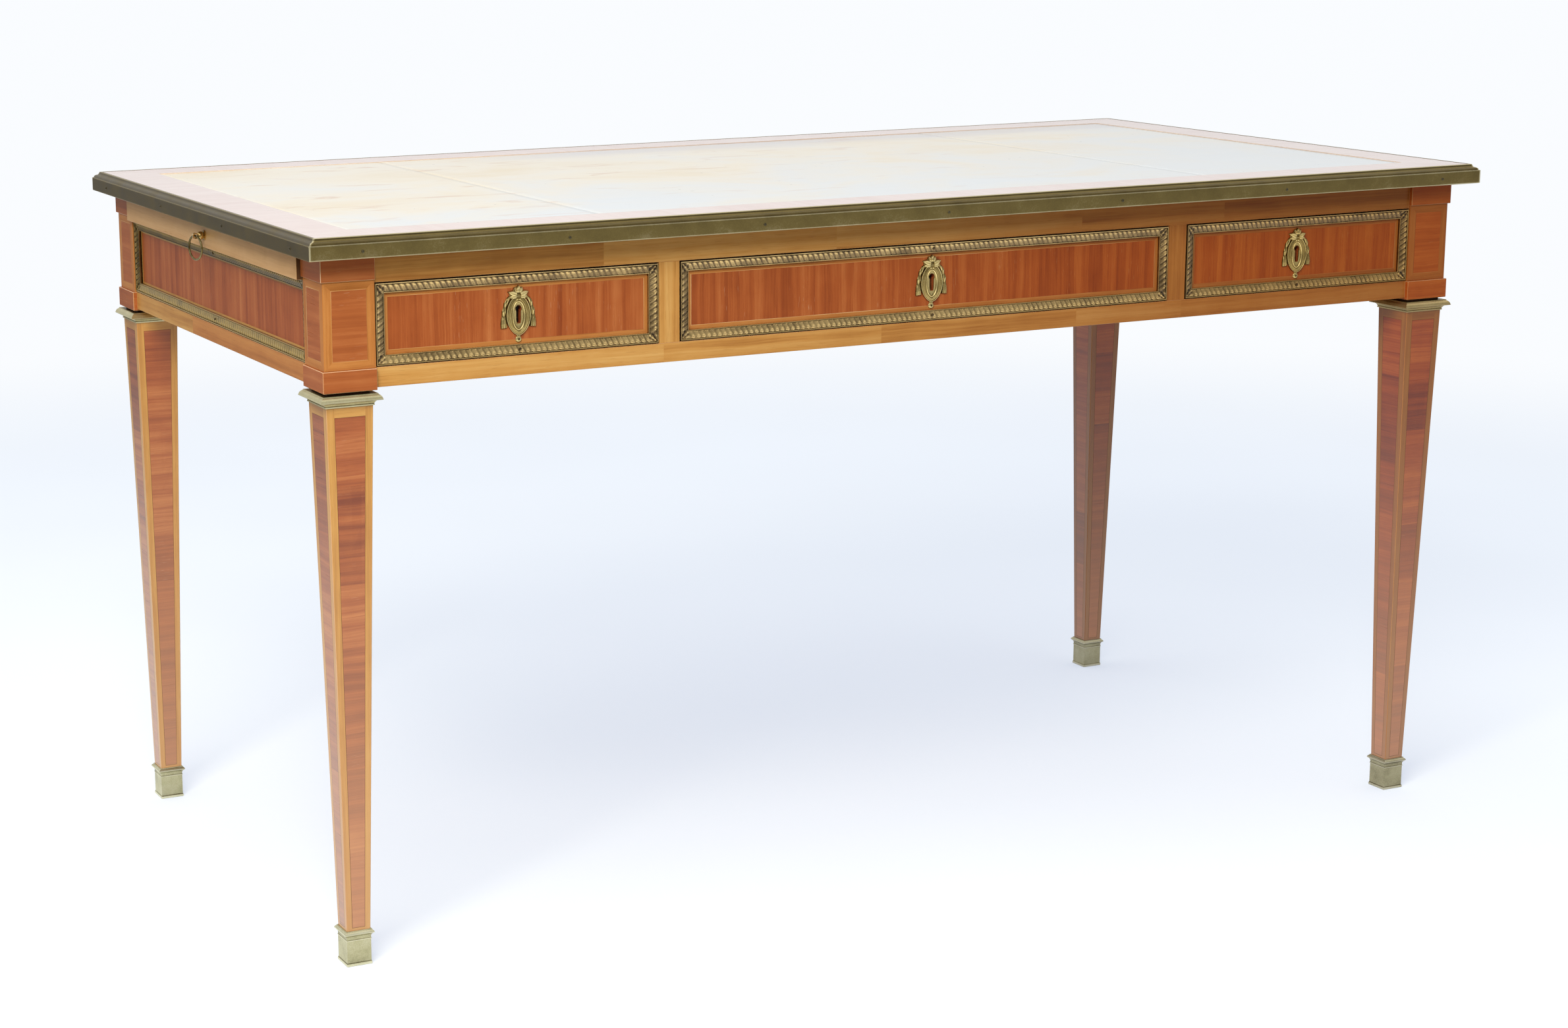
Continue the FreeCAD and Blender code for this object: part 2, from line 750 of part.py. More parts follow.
def slide_pull(side):
    """A turned knob whose end is pierced for the ring, on a shank that enters the lip."""
    sign = SIDES[side]
    name = f"slide_{side}_pull"
    face = slide_plane * sign
    axis_line = (0, pull_level)
    outwards = inwards_along_x(-sign)
    eye_x = (slide_plane + size.pull_eye_distance) * sign
    half_eye = size.pull_eye_thickness / 2
    stem_length = size.pull_eye_distance - (size.pull_eye_radius + size.pull_hole_radius) / 2
    ball = doc.addObject("Part::Sphere", name + "_ball")
    bind(ball, Radius=size.pull_ball_radius)
    place(ball, (slide_plane + size.pull_ball_distance) * sign, *axis_line, outwards)
    pieces = [
        ball,
        cylinder(name + "_base", size.pull_base_radius, size.pull_base_thickness, (face, *axis_line),
                 outwards),
        cylinder(name + "_stem", size.pull_shank_radius, stem_length, (face, *axis_line), outwards),
        cylinder(name + "_eye", size.pull_eye_radius, size.pull_eye_thickness, (eye_x, -half_eye, pull_level),
                 ALONG_Y),
        cylinder(name + "_shank", size.pull_shank_radius, size.pull_shank_length, (face, *axis_line),
                 inwards_along_x(sign)),
    ]
    hole = cylinder(name + "_hole", size.pull_hole_radius, size.pull_eye_thickness,
                    (eye_x, -half_eye, pull_level), ALONG_Y)
    return node(cut(name, fuse(name + "_blank", pieces), [hole]), name)


def slide_ring(side):
    sign = SIDES[side]
    name = f"slide_{side}_ring"
    ring = doc.addObject("Part::Torus", name)
    bind(ring, Radius1=size.ring_radius, Radius2=size.ring_wire_radius)
    eye_x = (slide_plane + size.pull_eye_distance) * sign
    turn = Rotation(Vector(0, 0, 1), -RING_TURN * sign).multiply(ALONG_X)
    return node(place(ring, eye_x, 0, pull_level - size.ring_radius, turn), name)


# Drawers

def keyhole(name, x, near, far):
    """A round hole with a slot below it, between two depths."""
    level = bay_level + size.keyhole_lift
    slot_z = (level - size.keyhole_slot_height, level)
    bore = cylinder(name + "_bore", size.keyhole_radius, far - near, (x, near, level), ALONG_Y)
    slot = box(name + "_slot", about(x, size.keyhole_slot_width), (near, far), slot_z)
    return fuse(name, [bore, slot])


front_top = bay_top - size.drawer_gap
lock_y = (-(drawer_front_back + size.lock_depth), -drawer_front_back)
bolt_y = about((lock_y[0] + lock_y[1]) / 2, size.bolt_thickness)


def bolt_space(name, x, low, high):
    """The space that a bolt slides in, with clearance all round."""
    clear = size.bolt_clearance
    y = (bolt_y[0] - clear, bolt_y[1] + clear)
    return box(name, about(x, size.bolt_width + clear * 2), y, (low, high))


def bolt_mortise(bay):
    return bolt_space(f"bolt_mortise_{bay}", bay_centre(bay), bay_top, bay_top + size.bolt_throw)


def drawer_front(bay):
    """The front board, grooved for the bottom, cut for the sides' tails and the lock, pierced for the key."""
    name = f"drawer_{bay}_front"
    low, high = BAYS[bay]
    x = (low + size.drawer_gap, high - size.drawer_gap)
    z = (bay_bottom + size.drawer_gap, front_top)
    body = box(name + "_body", x, (-panel_plane, -drawer_front_back), z)
    centre = bay_centre(bay)
    sinking = box(name + "_lock_sinking", about(centre, size.lock_width), lock_y,
                  (front_top - size.lock_height, front_top))
    hole = keyhole(name + "_keyhole", centre, -panel_plane, lock_y[0])
    bottom_x, bottom_z = bottom_ends(bay)
    groove = box(name + "_groove", bottom_x, (-(drawer_front_back + size.drawer_groove), -drawer_front_back),
                 bottom_z)
    sockets = []
    for side in SIDES:
        sockets += tails(f"{name}_{side}_socket", bay, side, size.drawer_side_gap)
    return node(cut(name, body, [sinking, hole, groove] + sockets), name)


def side_faces(bay):
    """The inner faces of a drawer's two sides."""
    low, high = BAYS[bay]
    wall = size.drawer_side_gap + size.drawer_side_thickness
    return low + wall, high - wall


def bottom_ends(bay):
    """Where a drawer bottom reaches to in its grooves, across and in height."""
    left, right = side_faces(bay)
    low = drawer_side_bottom + size.drawer_bottom_lift
    return (left - size.drawer_groove, right + size.drawer_groove), (low, low + size.drawer_bottom_thickness)


drawer_rear = front_inside - size.drawer_rear_space
drawer_side_top = bearer_bottom - size.drawer_head_gap
drawer_side_bottom = bay_bottom + size.drawer_run_gap


def tails(name, bay, side, extra):
    """The dovetails of one drawer side; extra makes them reach further outwards, to cut their sockets."""
    left, right = side_faces(bay)
    thickness = size.drawer_side_thickness + extra
    x = left - thickness if side == "left" else right
    pitch = (drawer_side_top - drawer_side_bottom) / TAILS_PER_SIDE
    root = size.tail_width / 2
    tip = root + size.tail_flare
    made = []
    for number in range(TAILS_PER_SIDE):
        tail = doc.addObject("Part::Wedge", f"{name}_{number}")
        bind(tail, Ymin=0, Ymax=size.tail_length, Xmin=-root, Xmax=root, X2min=-tip, X2max=tip)
        bind(tail, Zmin=0, Zmax=thickness, Z2min=0, Z2max=thickness)
        level = drawer_side_bottom + pitch * (number + 0.5)
        made.append(place(tail, x, -drawer_front_back, level, FORWARDS))
    return made


def drawer_box(bay):
    """Two grooved sides, dovetailed for the front, and the back between them."""
    name = f"drawer_{bay}_box"
    left, right = side_faces(bay)
    bottom_x, bottom_z = bottom_ends(bay)
    y = (-drawer_front_back, drawer_rear)
    z = (drawer_side_bottom, drawer_side_top)
    groove = box(name + "_groove", bottom_x, (y[0] - size.drawer_groove, y[1]), bottom_z)
    sides = []
    for side, x in (("left", (left - size.drawer_side_thickness, left)),
                    ("right", (right, right + size.drawer_side_thickness))):
        board = box(f"{name}_{side}_board", x, y, z)
        joined = fuse(f"{name}_{side}_blank", [board] + tails(f"{name}_{side}_tail", bay, side, 0))
        sides.append(cut(f"{name}_{side}", joined, [groove]))
    back = box(name + "_back", (left, right), (drawer_rear - size.drawer_back_thickness, drawer_rear),
               (bottom_z[1], drawer_side_top - size.drawer_back_drop))
    return node(group(name, sides + [back]), name)


def drawer_bottom(bay):
    name = f"drawer_{bay}_bottom"
    x, z = bottom_ends(bay)
    y = (-(drawer_front_back + size.drawer_groove), drawer_rear)
    return node(box(name, x, y, z), name)


def drawer_lock(bay):
    """The lock case, with the channel for its bolt and the start of the key's way in."""
    name = f"drawer_{bay}_lock"
    centre = bay_centre(bay)
    z = (front_top - size.lock_height, front_top)
    case = box(name + "_case", about(centre, size.lock_width), lock_y, z)
    channel = bolt_space(name + "_channel", centre,
                         front_top - size.bolt_setback - size.bolt_height - size.bolt_clearance, front_top)
    way_in = keyhole(name + "_key_way", centre, lock_y[0], lock_y[0] + size.keyhole_depth_in_lock)
    return node(cut(name, case, [channel, way_in]), name)


def lock_bolt(bay):
    name = f"drawer_{bay}_lock_bolt"
    top = front_top - size.bolt_setback
    x = about(bay_centre(bay), size.bolt_width)
    return node(box(name, x, bolt_y, (top - size.bolt_height, top)), name)


def escutcheon(bay):
    """An oval plate with a raised rim, a bow above, husks at the sides and a boss below."""
    name = f"drawer_{bay}_escutcheon"
    x = bay_centre(bay)
    y = -panel_plane
    thick = size.escutcheon_thickness
    top = bay_level + size.escutcheon_height / 2
    foot = bay_level - size.escutcheon_height / 2
    husk_width = (size.escutcheon_width - size.escutcheon_oval_width) / 2 + size.escutcheon_rim_width
    husk_x = size.escutcheon_width / 2 - husk_width / 2
    rim = thick + size.escutcheon_rim_height
    well_height = size.escutcheon_oval_height - size.escutcheon_rim_width * 2
    well_width = size.escutcheon_oval_width - size.escutcheon_rim_width * 2
    pieces = [
        oval(name + "_oval", size.escutcheon_oval_height, size.escutcheon_oval_width, rim, (x, y, bay_level)),
        oval(name + "_bow", size.escutcheon_bow_height, size.escutcheon_oval_width, rim,
             (x, y, top - size.escutcheon_bow_height / 2)),
        cylinder(name + "_boss", size.escutcheon_boss_radius, rim, (x, y, foot + size.escutcheon_boss_radius),
                 UPRIGHT),
    ]
    for side, sign in SIDES.items():
        pieces.append(oval(f"{name}_husk_{side}", size.escutcheon_husk_height, husk_width, thick,
                           (x + husk_x * sign, y, bay_level)))
    well = oval(name + "_well", well_height, well_width, rim, (x, y - thick, bay_level))
    hole = keyhole(name + "_keyhole", x, y - rim, y)
    return node(cut(name, fuse(name + "_blank", pieces), [well, hole]), name)


def make_drawer(bay):
    drawer_front(bay)
    drawer_box(bay)
    drawer_bottom(bay)
    node(bay_frame(f"drawer_{bay}_frame", bay, "front"), f"drawer_{bay}_frame")
    drawer_lock(bay)
    lock_bolt(bay)
    escutcheon(bay)


def build():
    make_legs()
    for rail in RAILS:
        front_rail(rail)
    drawer_dividers()
    back_apron()
    back_frames()
    for side in SIDES:
        end_apron(side)
        end_frame(side)
    drawer_runners()
    slide_bearers()
    top_board()
    top_border()
    top_leather()
    top_edges()
    top_edge_pins()
    node(group("top_screws", top_screws("screw", 0)), "top_screws")
    for side in SIDES:
        slide_board(side)
        slide_pull(side)
        slide_ring(side)
    for bay in BAYS:
        make_drawer(bay)


def check():
    """Stop before anything is written if a feature failed or a shape is empty or broken."""
    for obj in doc.Objects:
        if "Invalid" in obj.State or "Error" in obj.State:
            raise RuntimeError(f"{obj.Name} failed: {obj.State}")
    for obj in nodes:
        if obj.Shape.isNull() or not obj.Shape.isValid() or not obj.Shape.Solids:
            raise RuntimeError(f"{obj.Label} has no valid solid")


def write():
    os.makedirs("parts", exist_ok=True)
    for obj in nodes:
        obj.Shape.exportStep(f"parts/{obj.Label}.step")
    print(len(nodes), "sub-parts written")


build()
doc.recompute()
check()
write()
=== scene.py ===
"""Looks of the bureau plat: veneers, gilt bronze, leather and studio light around the fixed frame.

Metres, or mm where a comment says so. +Z is up, the drawers open towards -Y, and the length runs along X.
"""
import random
from functools import partial, partialmethod
from itertools import chain, count as count_from, cycle, product
from math import atan2, cos, exp, hypot, pi, radians, sin, sqrt, tau

import bpy
import numpy as np
from mathutils import Euler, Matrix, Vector


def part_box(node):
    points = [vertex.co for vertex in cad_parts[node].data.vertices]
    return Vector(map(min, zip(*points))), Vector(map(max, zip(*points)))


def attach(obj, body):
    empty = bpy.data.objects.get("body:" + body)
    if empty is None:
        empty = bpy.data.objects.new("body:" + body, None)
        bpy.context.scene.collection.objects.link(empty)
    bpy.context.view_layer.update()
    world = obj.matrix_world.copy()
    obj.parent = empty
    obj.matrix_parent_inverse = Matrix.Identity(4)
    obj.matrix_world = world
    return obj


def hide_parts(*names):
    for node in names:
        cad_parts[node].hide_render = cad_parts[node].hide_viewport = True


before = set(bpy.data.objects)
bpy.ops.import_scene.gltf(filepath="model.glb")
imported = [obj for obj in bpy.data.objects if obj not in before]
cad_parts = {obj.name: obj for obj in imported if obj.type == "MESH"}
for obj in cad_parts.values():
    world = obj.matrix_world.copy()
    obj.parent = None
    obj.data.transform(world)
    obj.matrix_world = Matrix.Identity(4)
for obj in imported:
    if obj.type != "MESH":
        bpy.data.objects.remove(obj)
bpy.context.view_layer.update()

MM = 0.001
SIDES = {"left": -1, "right": 1}
ROWS = {"front": -1, "rear": 1}
BAYS = ("left", "middle", "right")
OUT = {"left": Vector((-1, 0, 0)), "right": Vector((1, 0, 0)), "front": Vector((0, -1, 0)),
       "back": Vector((0, 1, 0)), "bottom": Vector((0, 0, -1)), "top": Vector((0, 0, 1))}
AROUND = ("front", "right", "back", "left")
ALONG_X, ALONG_Y, UP = OUT["right"], OUT["back"], OUT["top"]


# Materials

def rgb(red, green, blue):
    """A screen colour, 0 to 255 in each part, as linear light."""
    parts = [part / 255 for part in (red, green, blue)]
    return (*[p / 12.92 if p <= 0.04045 else ((p + 0.055) / 1.055) ** 2.4 for p in parts], 1.0)


class Field:
    """A value inside a material; arithmetic on it adds Math nodes."""

    def __init__(self, nodes, socket):
        self.nodes = nodes
        self.socket = socket

    def math(self, operation, other):
        return self.nodes.field("Math", {0: self, 1: other}, operation=operation)

    __add__ = partialmethod(math, "ADD")
    __sub__ = partialmethod(math, "SUBTRACT")
    __mul__ = partialmethod(math, "MULTIPLY")

    def __rsub__(self, other):
        return self * -1 + other

    def step(self, low, high):
        """0 below low, 1 above high, and smooth between them."""
        return self.nodes.field("MapRange", {0: self, 1: low, 2: high}, interpolation_type="SMOOTHSTEP")


class Nodes:
    """The nodes of a material or of the world."""

    def __init__(self, tree):
        self.tree = tree

    def feed(self, socket, value):
        if isinstance(value, Field):
            self.tree.links.new(value.socket, socket)
        else:
            socket.default_value = value

    def field(self, kind, inputs, output=0, **settings):
        """What a new node gives, with some of its inputs fed by number or by name."""
        made = self.tree.nodes.new("ShaderNode" + kind)
        for key, value in settings.items():
            setattr(made, key, value)
        for key, value in inputs.items():
            self.feed(made.inputs[key], value)
        return Field(self, made.outputs[output])

    def split(self, vector):
        made = self.field("SeparateXYZ", {0: vector}).socket.node
        return [Field(self, output) for output in made.outputs]

    def place(self, space="Object"):
        """X, Y and Z in the desk's own frame, or in another space."""
        return self.split(self.field("TexCoord", {}, space))

    def ray(self, kind):
        """1 where the ray that arrives is of a kind, such as Camera."""
        return self.field("LightPath", {}, f"Is {kind} Ray")

    def noise(self, place, scale=1.0, detail=2.0, roughness=0.5, distortion=0.0):
        vector = self.field("CombineXYZ", dict(enumerate(place)))
        return self.field("TexNoise", {"Vector": vector, "Scale": scale, "Detail": detail,
                                       "Roughness": roughness, "Distortion": distortion})

    def chance(self, number):
        """A random value for each whole number."""
        return self.field("TexWhiteNoise", {"W": number}, "Value", noise_dimensions="1D")

    def ramp(self, value, *stops):
        """A colour for each value, from (position, colour) stops."""
        made = self.field("ValToRGB", {0: value})
        marks = made.socket.node.color_ramp.elements
        for number, (position, colour) in enumerate(stops):
            mark = marks[number] if number < 2 else marks.new(position)
            mark.position = position
            mark.color = colour
        return made

    def blend(self, factor, first, second, mode="MIX"):
        return self.field("Mix", {0: factor, 6: first, 7: second}, 2, data_type="RGBA", blend_type=mode)


class Shade(Nodes):
    """A material in the making: a Principled shader and the nodes that drive it."""

    def __init__(self, name, **constants):
        self.material = bpy.data.materials.new(name)
        self.material.use_nodes = True
        super().__init__(self.material.node_tree)
        for socket, value in constants.items():
            self.set(socket.replace("_", " "), value)

    def set(self, socket, value):
        self.feed(self.tree.nodes["Principled BSDF"].inputs[socket], value)

    def grain(self):
        """Distance along the grain, distance across it, and the number of the leaf of veneer."""
        return self.split(self.field("Attribute", {}, "Vector", attribute_name="grain"))

    def relief(self):
        """0 in the hollows of an ornament and 1 on its crests."""
        return self.field("Attribute", {}, "Fac", attribute_name="relief")

    def paint_falloff(self, colour, painted_falloff, start, end):
        """Painted shade: a colour multiplied by another, more and more from one X to the next."""
        return self.blend(self.place()[0].step(start, end), colour, (*painted_falloff, 1), "MULTIPLY")

    def surface(self, colour, roughness, height, distance, strength):
        """The finished material; the last three make its bumps."""
        bumps = self.field("Bump", {"Strength": strength, "Distance": distance, "Height": height})
        for socket, value in (("Base Color", colour), ("Roughness", roughness), ("Normal", bumps)):
            self.set(socket, value)
        return self.material


WANDER = 7 * MM
# Painted light bounced from the floor: the height below which woods grow paler, and the drop to their palest.
PAINTED_BOUNCE_FROM, PAINTED_BOUNCE_OVER = 0.56, 0.6


def wood(name, dark, middle, light, axis=None, stripes=85, contrast=1.0, gloss=0.3, chips=0.0, painted_bounce=0.0,
         painted_falloff=None, variety=0.22, specular=0.22, **constants):
    """Wood whose grain follows the leaf of veneer, or one axis of the desk where the wood is solid.

    stripes are the bands in a metre across the grain, chips are pale scratches, and variety is the difference
    between leaves. The two settings after chips paint light into the colour: the first pales the wood towards
    the floor as painted light bounced from it, and the second darkens it towards the right as painted shade,
    where the lamps' light falls off.
    """
    dark, middle, light = [rgb(*colour) for colour in (dark, middle, light)]
    shade = Shade(name, Specular_IOR_Level=specular, **constants)
    if axis:
        place = dict(zip("xyz", shade.place()))
        along = place.pop(axis)
        across, depth = place.values()
        depth = depth * stripes * 0.6
    else:
        along, across, leaf = shade.grain()
        depth = leaf * 3.7

    def pattern(often, line, often_across, shift=0.0, **settings):
        """Noise that changes so often in a metre along the grain and across it."""
        return shade.noise((along * often, line * often_across, depth + shift), **settings)

    line = across + (pattern(9, across, 22) - 0.5) * WANDER
    bands = pattern(1.7, line, stripes, detail=3, roughness=0.6)
    fibres = pattern(14, line, 620, roughness=0.6)
    figure = pattern(26, across, 30)
    tone = (bands - 0.5) * 1.5 * contrast + (fibres - 0.5) * 0.55 * contrast + (figure - 0.5) * 0.3 + 0.5
    if not axis:
        tone = tone + (shade.chance(leaf) - 0.5) * variety
    colour = shade.ramp(tone, (0.08, dark), (0.5, middle), (0.92, light))
    pores = pattern(55, line, 1500, detail=1).step(0.62, 0.74)
    colour = shade.blend(pores * 0.35, colour, dark)
    if chips:
        scratches = pattern(70, across, 1600, detail=1).step(0.7, 0.76)
        where = pattern(14, across, 20, 9.0, detail=1).step(0.5, 0.64)
        colour = shade.blend(scratches * where * chips, colour, rgb(220, 190, 158))
    # Painted shade: darker towards the right, where the lamps' light falls off.
    if painted_falloff:
        colour = shade.paint_falloff(colour, painted_falloff, -0.4, 0.5)
    # Painted light: paler towards the floor, standing in for light bounced from it.
    if painted_bounce:
        low = (PAINTED_BOUNCE_FROM - shade.place()[2]).step(0.0, PAINTED_BOUNCE_OVER)
        colour = shade.blend(low * painted_bounce, colour, rgb(226, 178, 142))
    return shade.surface(colour, fibres * 0.12 + (gloss - 0.06), fibres + bands * 0.4, 0.03 * MM, 0.35)


def bronze(name, dark, middle, light, roughness=0.38, patina=0.5, speckle=0.4, chased=True, painted_falloff=None,
           **constants):
    """Worn gilding: chased work dark in its hollows, bright on its crests; painted shade to the right as for
    wood.
    """
    shade = Shade(name, Metallic=0.9, **constants)
    place = shade.place()
    clouds = shade.noise(place, 38.0, 4.0, 0.62)
    grains = shade.noise(place, 780.0, 2.0, 0.6)
    tone = (clouds - 0.5) * patina * 2 + (grains - 0.5) * speckle + 0.5
    if chased:
        tone = tone + (shade.relief() - 0.5)
    colour = shade.ramp(tone, (0.05, rgb(*dark)), (0.5, rgb(*middle)), (0.95, rgb(*light)))
    # Painted shade: darker towards the right, where the lamps' light falls off.
    if painted_falloff:
        colour = shade.paint_falloff(colour, painted_falloff, 0.02, 0.6)
    rough = (clouds - 0.5) * 0.3 + grains * 0.1 + (roughness - 0.05)
    return shade.surface(colour, rough, grains + clouds * 2, 0.05 * MM, 0.25)


def leather_look():
    """Cream hide, rubbed and stained: cooler towards the front right, brown towards the rear left."""
    shade = Shade("leather", Coat_Weight=1.0, Coat_Roughness=0.25)
    x, y, z = place = shade.place()
    clouds = shade.noise(place, 5.0, 4.0, 0.6, 0.6)
    rubs = shade.noise((x * 6, y * 22, z), 1.0, 4.0, 0.65, 0.4)
    stains = shade.noise((x * 11, y * 30, z + 4.0), 1.0, 3.0, 0.55, 0.8)
    specks = shade.noise(place, 120.0, 1.0)
    hide = shade.noise(place, 900.0, 3.0, 0.6)
    colour = shade.ramp(clouds * 0.75 + rubs * 0.4 - 0.07, (0.25, rgb(221, 197, 149)),
                        (0.5, rgb(227, 213, 184)), (0.78, rgb(223, 218, 205)))
    cool = (x * 0.35 - y * 1.1 + (clouds - 0.5) * 1.3).step(-0.25, 0.45)
    # Painted shade: a grey band along the rear of the leather, but for its left part.
    rear = (y + rubs * 0.06).step(0.25, 0.31) * x.step(-0.35, -0.1)
    brown = stains.step(0.58, 0.76) * (x * -0.6 + y * 0.5 + 0.45).step(0.0, 0.75)
    for share, stain in ((cool * 0.75, rgb(202, 210, 216)), (rear * 0.5, rgb(176, 170, 182)),
                         (brown * 0.55, rgb(190, 132, 84)), (specks.step(0.79, 0.82) * 0.5, rgb(92, 74, 52))):
        colour = shade.blend(share, colour, stain)
    return shade.surface(colour, rubs * 0.25 + 0.3, hide + rubs * 3, 0.06 * MM, 0.3)


POLISH = {"specular": 0.45, "Coat_Weight": 0.35, "Coat_Roughness": 0.25}
# Settings that darken woods and bronzes towards the right are painted shade, where the lamps' light falls
# off.
TULIP = wood("tulipwood", (126, 54, 20), (166, 86, 40), (192, 116, 64), contrast=0.8, chips=0.35,
             painted_falloff=(0.86, 0.66, 0.3))
TULIP_CROSS = wood("tulipwood_cross", (138, 68, 30), (170, 94, 47), (194, 122, 70), stripes=130, contrast=0.6,
                   chips=0.3, painted_falloff=(0.95, 0.72, 0.42))
# The legs' woods pale towards the floor: painted light bounced from it.
TULIP_LEG = wood("tulipwood_legs", (124, 54, 20), (168, 88, 40), (200, 126, 70), stripes=110, contrast=0.8,
                 chips=0.3, painted_bounce=0.5, painted_falloff=(0.84, 0.56, 0.34), variety=0.5, **POLISH)
# The top's border: faded tulipwood, whitened further as painted sheen for the glare it takes from the room.
TULIP_TOP = wood("tulipwood_faded_painted_sheen", (204, 166, 150), (219, 190, 176), (228, 206, 194), stripes=120,
                 contrast=0.6, Coat_Weight=1.0, Coat_Roughness=0.2)
LINE_TOP = wood("stringing_faded", (204, 174, 148), (223, 200, 178), (234, 217, 200), Coat_Weight=1.0)
SATIN = wood("satinwood", (156, 96, 38), (201, 146, 76), (218, 172, 104), contrast=0.8, chips=0.2,
             variety=0.2, painted_falloff=(0.64, 0.45, 0.33))
# Painted light towards the floor, as for the tulipwood of the legs.
SATIN_LEG = wood("satinwood_legs", (164, 104, 42), (204, 148, 72), (220, 172, 98), contrast=0.7, painted_bounce=0.35,
                 painted_falloff=(0.52, 0.36, 0.24), **POLISH)
SATIN_LIP = wood("satinwood_pale", (178, 128, 76), (210, 165, 112), (226, 188, 138), contrast=0.6)
AMBER = wood("satinwood_amber", (142, 80, 28), (188, 120, 58), (208, 146, 80), contrast=0.7,
             painted_falloff=(0.7, 0.55, 0.42))
LINE = wood("stringing", (150, 88, 40), (192, 132, 72), (226, 190, 138), contrast=1.6, stripes=60,
            painted_falloff=(0.74, 0.56, 0.42))
WORN = wood("worn_arris", (184, 124, 78), (212, 164, 118), (232, 202, 166), contrast=0.9,
            painted_falloff=(0.72, 0.56, 0.42))
# Dark wood; also painted shade on the necks under the posts, and painted shadow with end grain on the lips'
# ends.
DARK = wood("shadowed_wood", (56, 34, 20), (82, 54, 32), (108, 76, 46), gloss=0.6)
OAK_X, OAK_Y = [wood(f"oak_along_{axis}", (120, 84, 46), (158, 118, 72), (180, 142, 94), axis, gloss=0.6)
                for axis in "xy"]
CORE = wood("drawer_core", (104, 44, 20), (142, 68, 34), (164, 92, 50), "x", gloss=0.5)
EDGE = bronze("bronze_edge", (58, 48, 29), (128, 111, 65), (210, 197, 156), patina=0.15, speckle=0.2)
PALE = bronze("bronze_pale", (98, 89, 59), (190, 184, 143), (226, 221, 189), patina=0.45,
              painted_falloff=(0.7, 0.67, 0.68))
COLLAR = bronze("bronze_collar", (92, 80, 48), (182, 170, 122), (222, 214, 174), patina=0.3,
                painted_falloff=(0.74, 0.62, 0.48))
LEAF = bronze("bronze_leaf", (42, 31, 18), (121, 97, 60), (217, 184, 121), 0.3, 0.4,
              painted_falloff=(0.74, 0.64, 0.5), Coat_Weight=0.3, Coat_Roughness=0.3)
# A darker copy of the leaf bronze, for the end frames: painted shade.
LEAF_END_SHADED = bronze("bronze_leaf_ends_painted_shade", (46, 36, 19), (112, 92, 52), (184, 156, 96), 0.36, 0.4)
GILT = bronze("bronze_gilt", (80, 64, 32), (164, 140, 82), (226, 205, 142), 0.3, 0.2,
              painted_falloff=(0.9, 0.84, 0.72))
# Bright gilt brass, lightened further as painted light and glints, since the pull sits in the top's shadow.
PULL = bronze("bronze_pull", (98, 72, 36), (196, 163, 98), (242, 220, 162), 0.2, chased=False)
RING = bronze("bronze_ring", (54, 46, 27), (118, 106, 66), (184, 172, 124), 0.26, chased=False)
PIN = bronze("bronze_pin", (40, 36, 28), (82, 74, 54), (120, 110, 84), chased=False)
IRON = bronze("iron", (40, 38, 36), (78, 74, 70), (112, 106, 98), 0.5, chased=False)
LEATHER = leather_look()


# Meshes

SMOOTH_SLOTS, SHARP = ("gilt_bronze", "leather"), radians(38)
LEAF_WANDER, BORDER_WANDER = 0.28, 0.2
leaf_numbers = count_from(1)


class Piece:
    """A mesh in the making: points with their wear, and faces with their look and run of grain."""

    def __init__(self, name):
        self.name = name
        self.looks = []
        self.points = []
        self.wear = []
        self.faces = []
        self.slots = []
        self.runs = []

    def add(self, numbers, look, runs):
        if look not in self.looks:
            self.looks.append(look)
        self.faces.append(numbers)
        self.slots.append(self.looks.index(look))
        self.runs += runs

    def face(self, corners, look, out, along=ALONG_X, leaf=None):
        """A flat face that looks towards out, its grain along a direction, on a new or a given leaf."""
        leaf = next(leaf_numbers) if leaf is None else leaf
        corners = [Vector(corner) for corner in corners]
        normal = sum((a.cross(b) for a, b in zip(corners, corners[1:] + corners[:1])), Vector())
        if normal.dot(out) < 0:
            corners.reverse()
        start = len(self.points)
        self.points += corners
        self.wear += [0.5] * len(corners)
        along, across = along.normalized(), out.cross(along).normalized()
        chance = random.Random(leaf)
        shifts = chance.uniform(0, 9), chance.uniform(0, 9)
        runs = [(c.dot(along) + shifts[0], c.dot(across) + shifts[1], leaf) for c in corners]
        self.add(range(start, len(self.points)), look, runs)

    def sheet(self, rows, look, closed=False, flip=False):
        """A smooth skin through rows of (point, wear); closed joins each row's end to its start."""
        start, width = len(self.points), len(rows[0])
        for point, wear in chain(*rows):
            self.points.append(Vector(point))
            self.wear.append(wear)
        for row, column in product(range(len(rows) - 1), range(width if closed else width - 1)):
            here = start + row * width
            beside, after = here + (column + 1) % width, here + column + width
            loop = [here + column, beside, beside + width, after]
            self.add(loop[::-1] if flip else loop, look, [(0.0, 0.0, 0.0)] * 4)

    def finish(self, slot, body, *replaced):
        """Puts the mesh in the scene, on a body of the frame and in the place of some of its nodes."""
        mesh = bpy.data.meshes.new(self.name)
        mesh.from_pydata(self.points, [], self.faces)
        for look in self.looks:
            mesh.materials.append(look)
        mesh.polygons.foreach_set("material_index", self.slots)
        runs = mesh.attributes.new("grain", "FLOAT_VECTOR", "CORNER")
        runs.data.foreach_set("vector", list(chain.from_iterable(self.runs)))
        wear = mesh.attributes.new("relief", "FLOAT", "POINT")
        wear.data.foreach_set("value", self.wear)
        if slot in SMOOTH_SLOTS:
            mesh.polygons.foreach_set("use_smooth", [True] * len(self.faces))
            mesh.set_sharp_from_angle(angle=SHARP)
        mesh.update()
        made = add_object(self.name, mesh)
        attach(made, body)
        if replaced:
            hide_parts(*replaced)


def add_object(name, data):
    made = bpy.data.objects.new(name, data)
    bpy.context.scene.collection.objects.link(made)
    return made


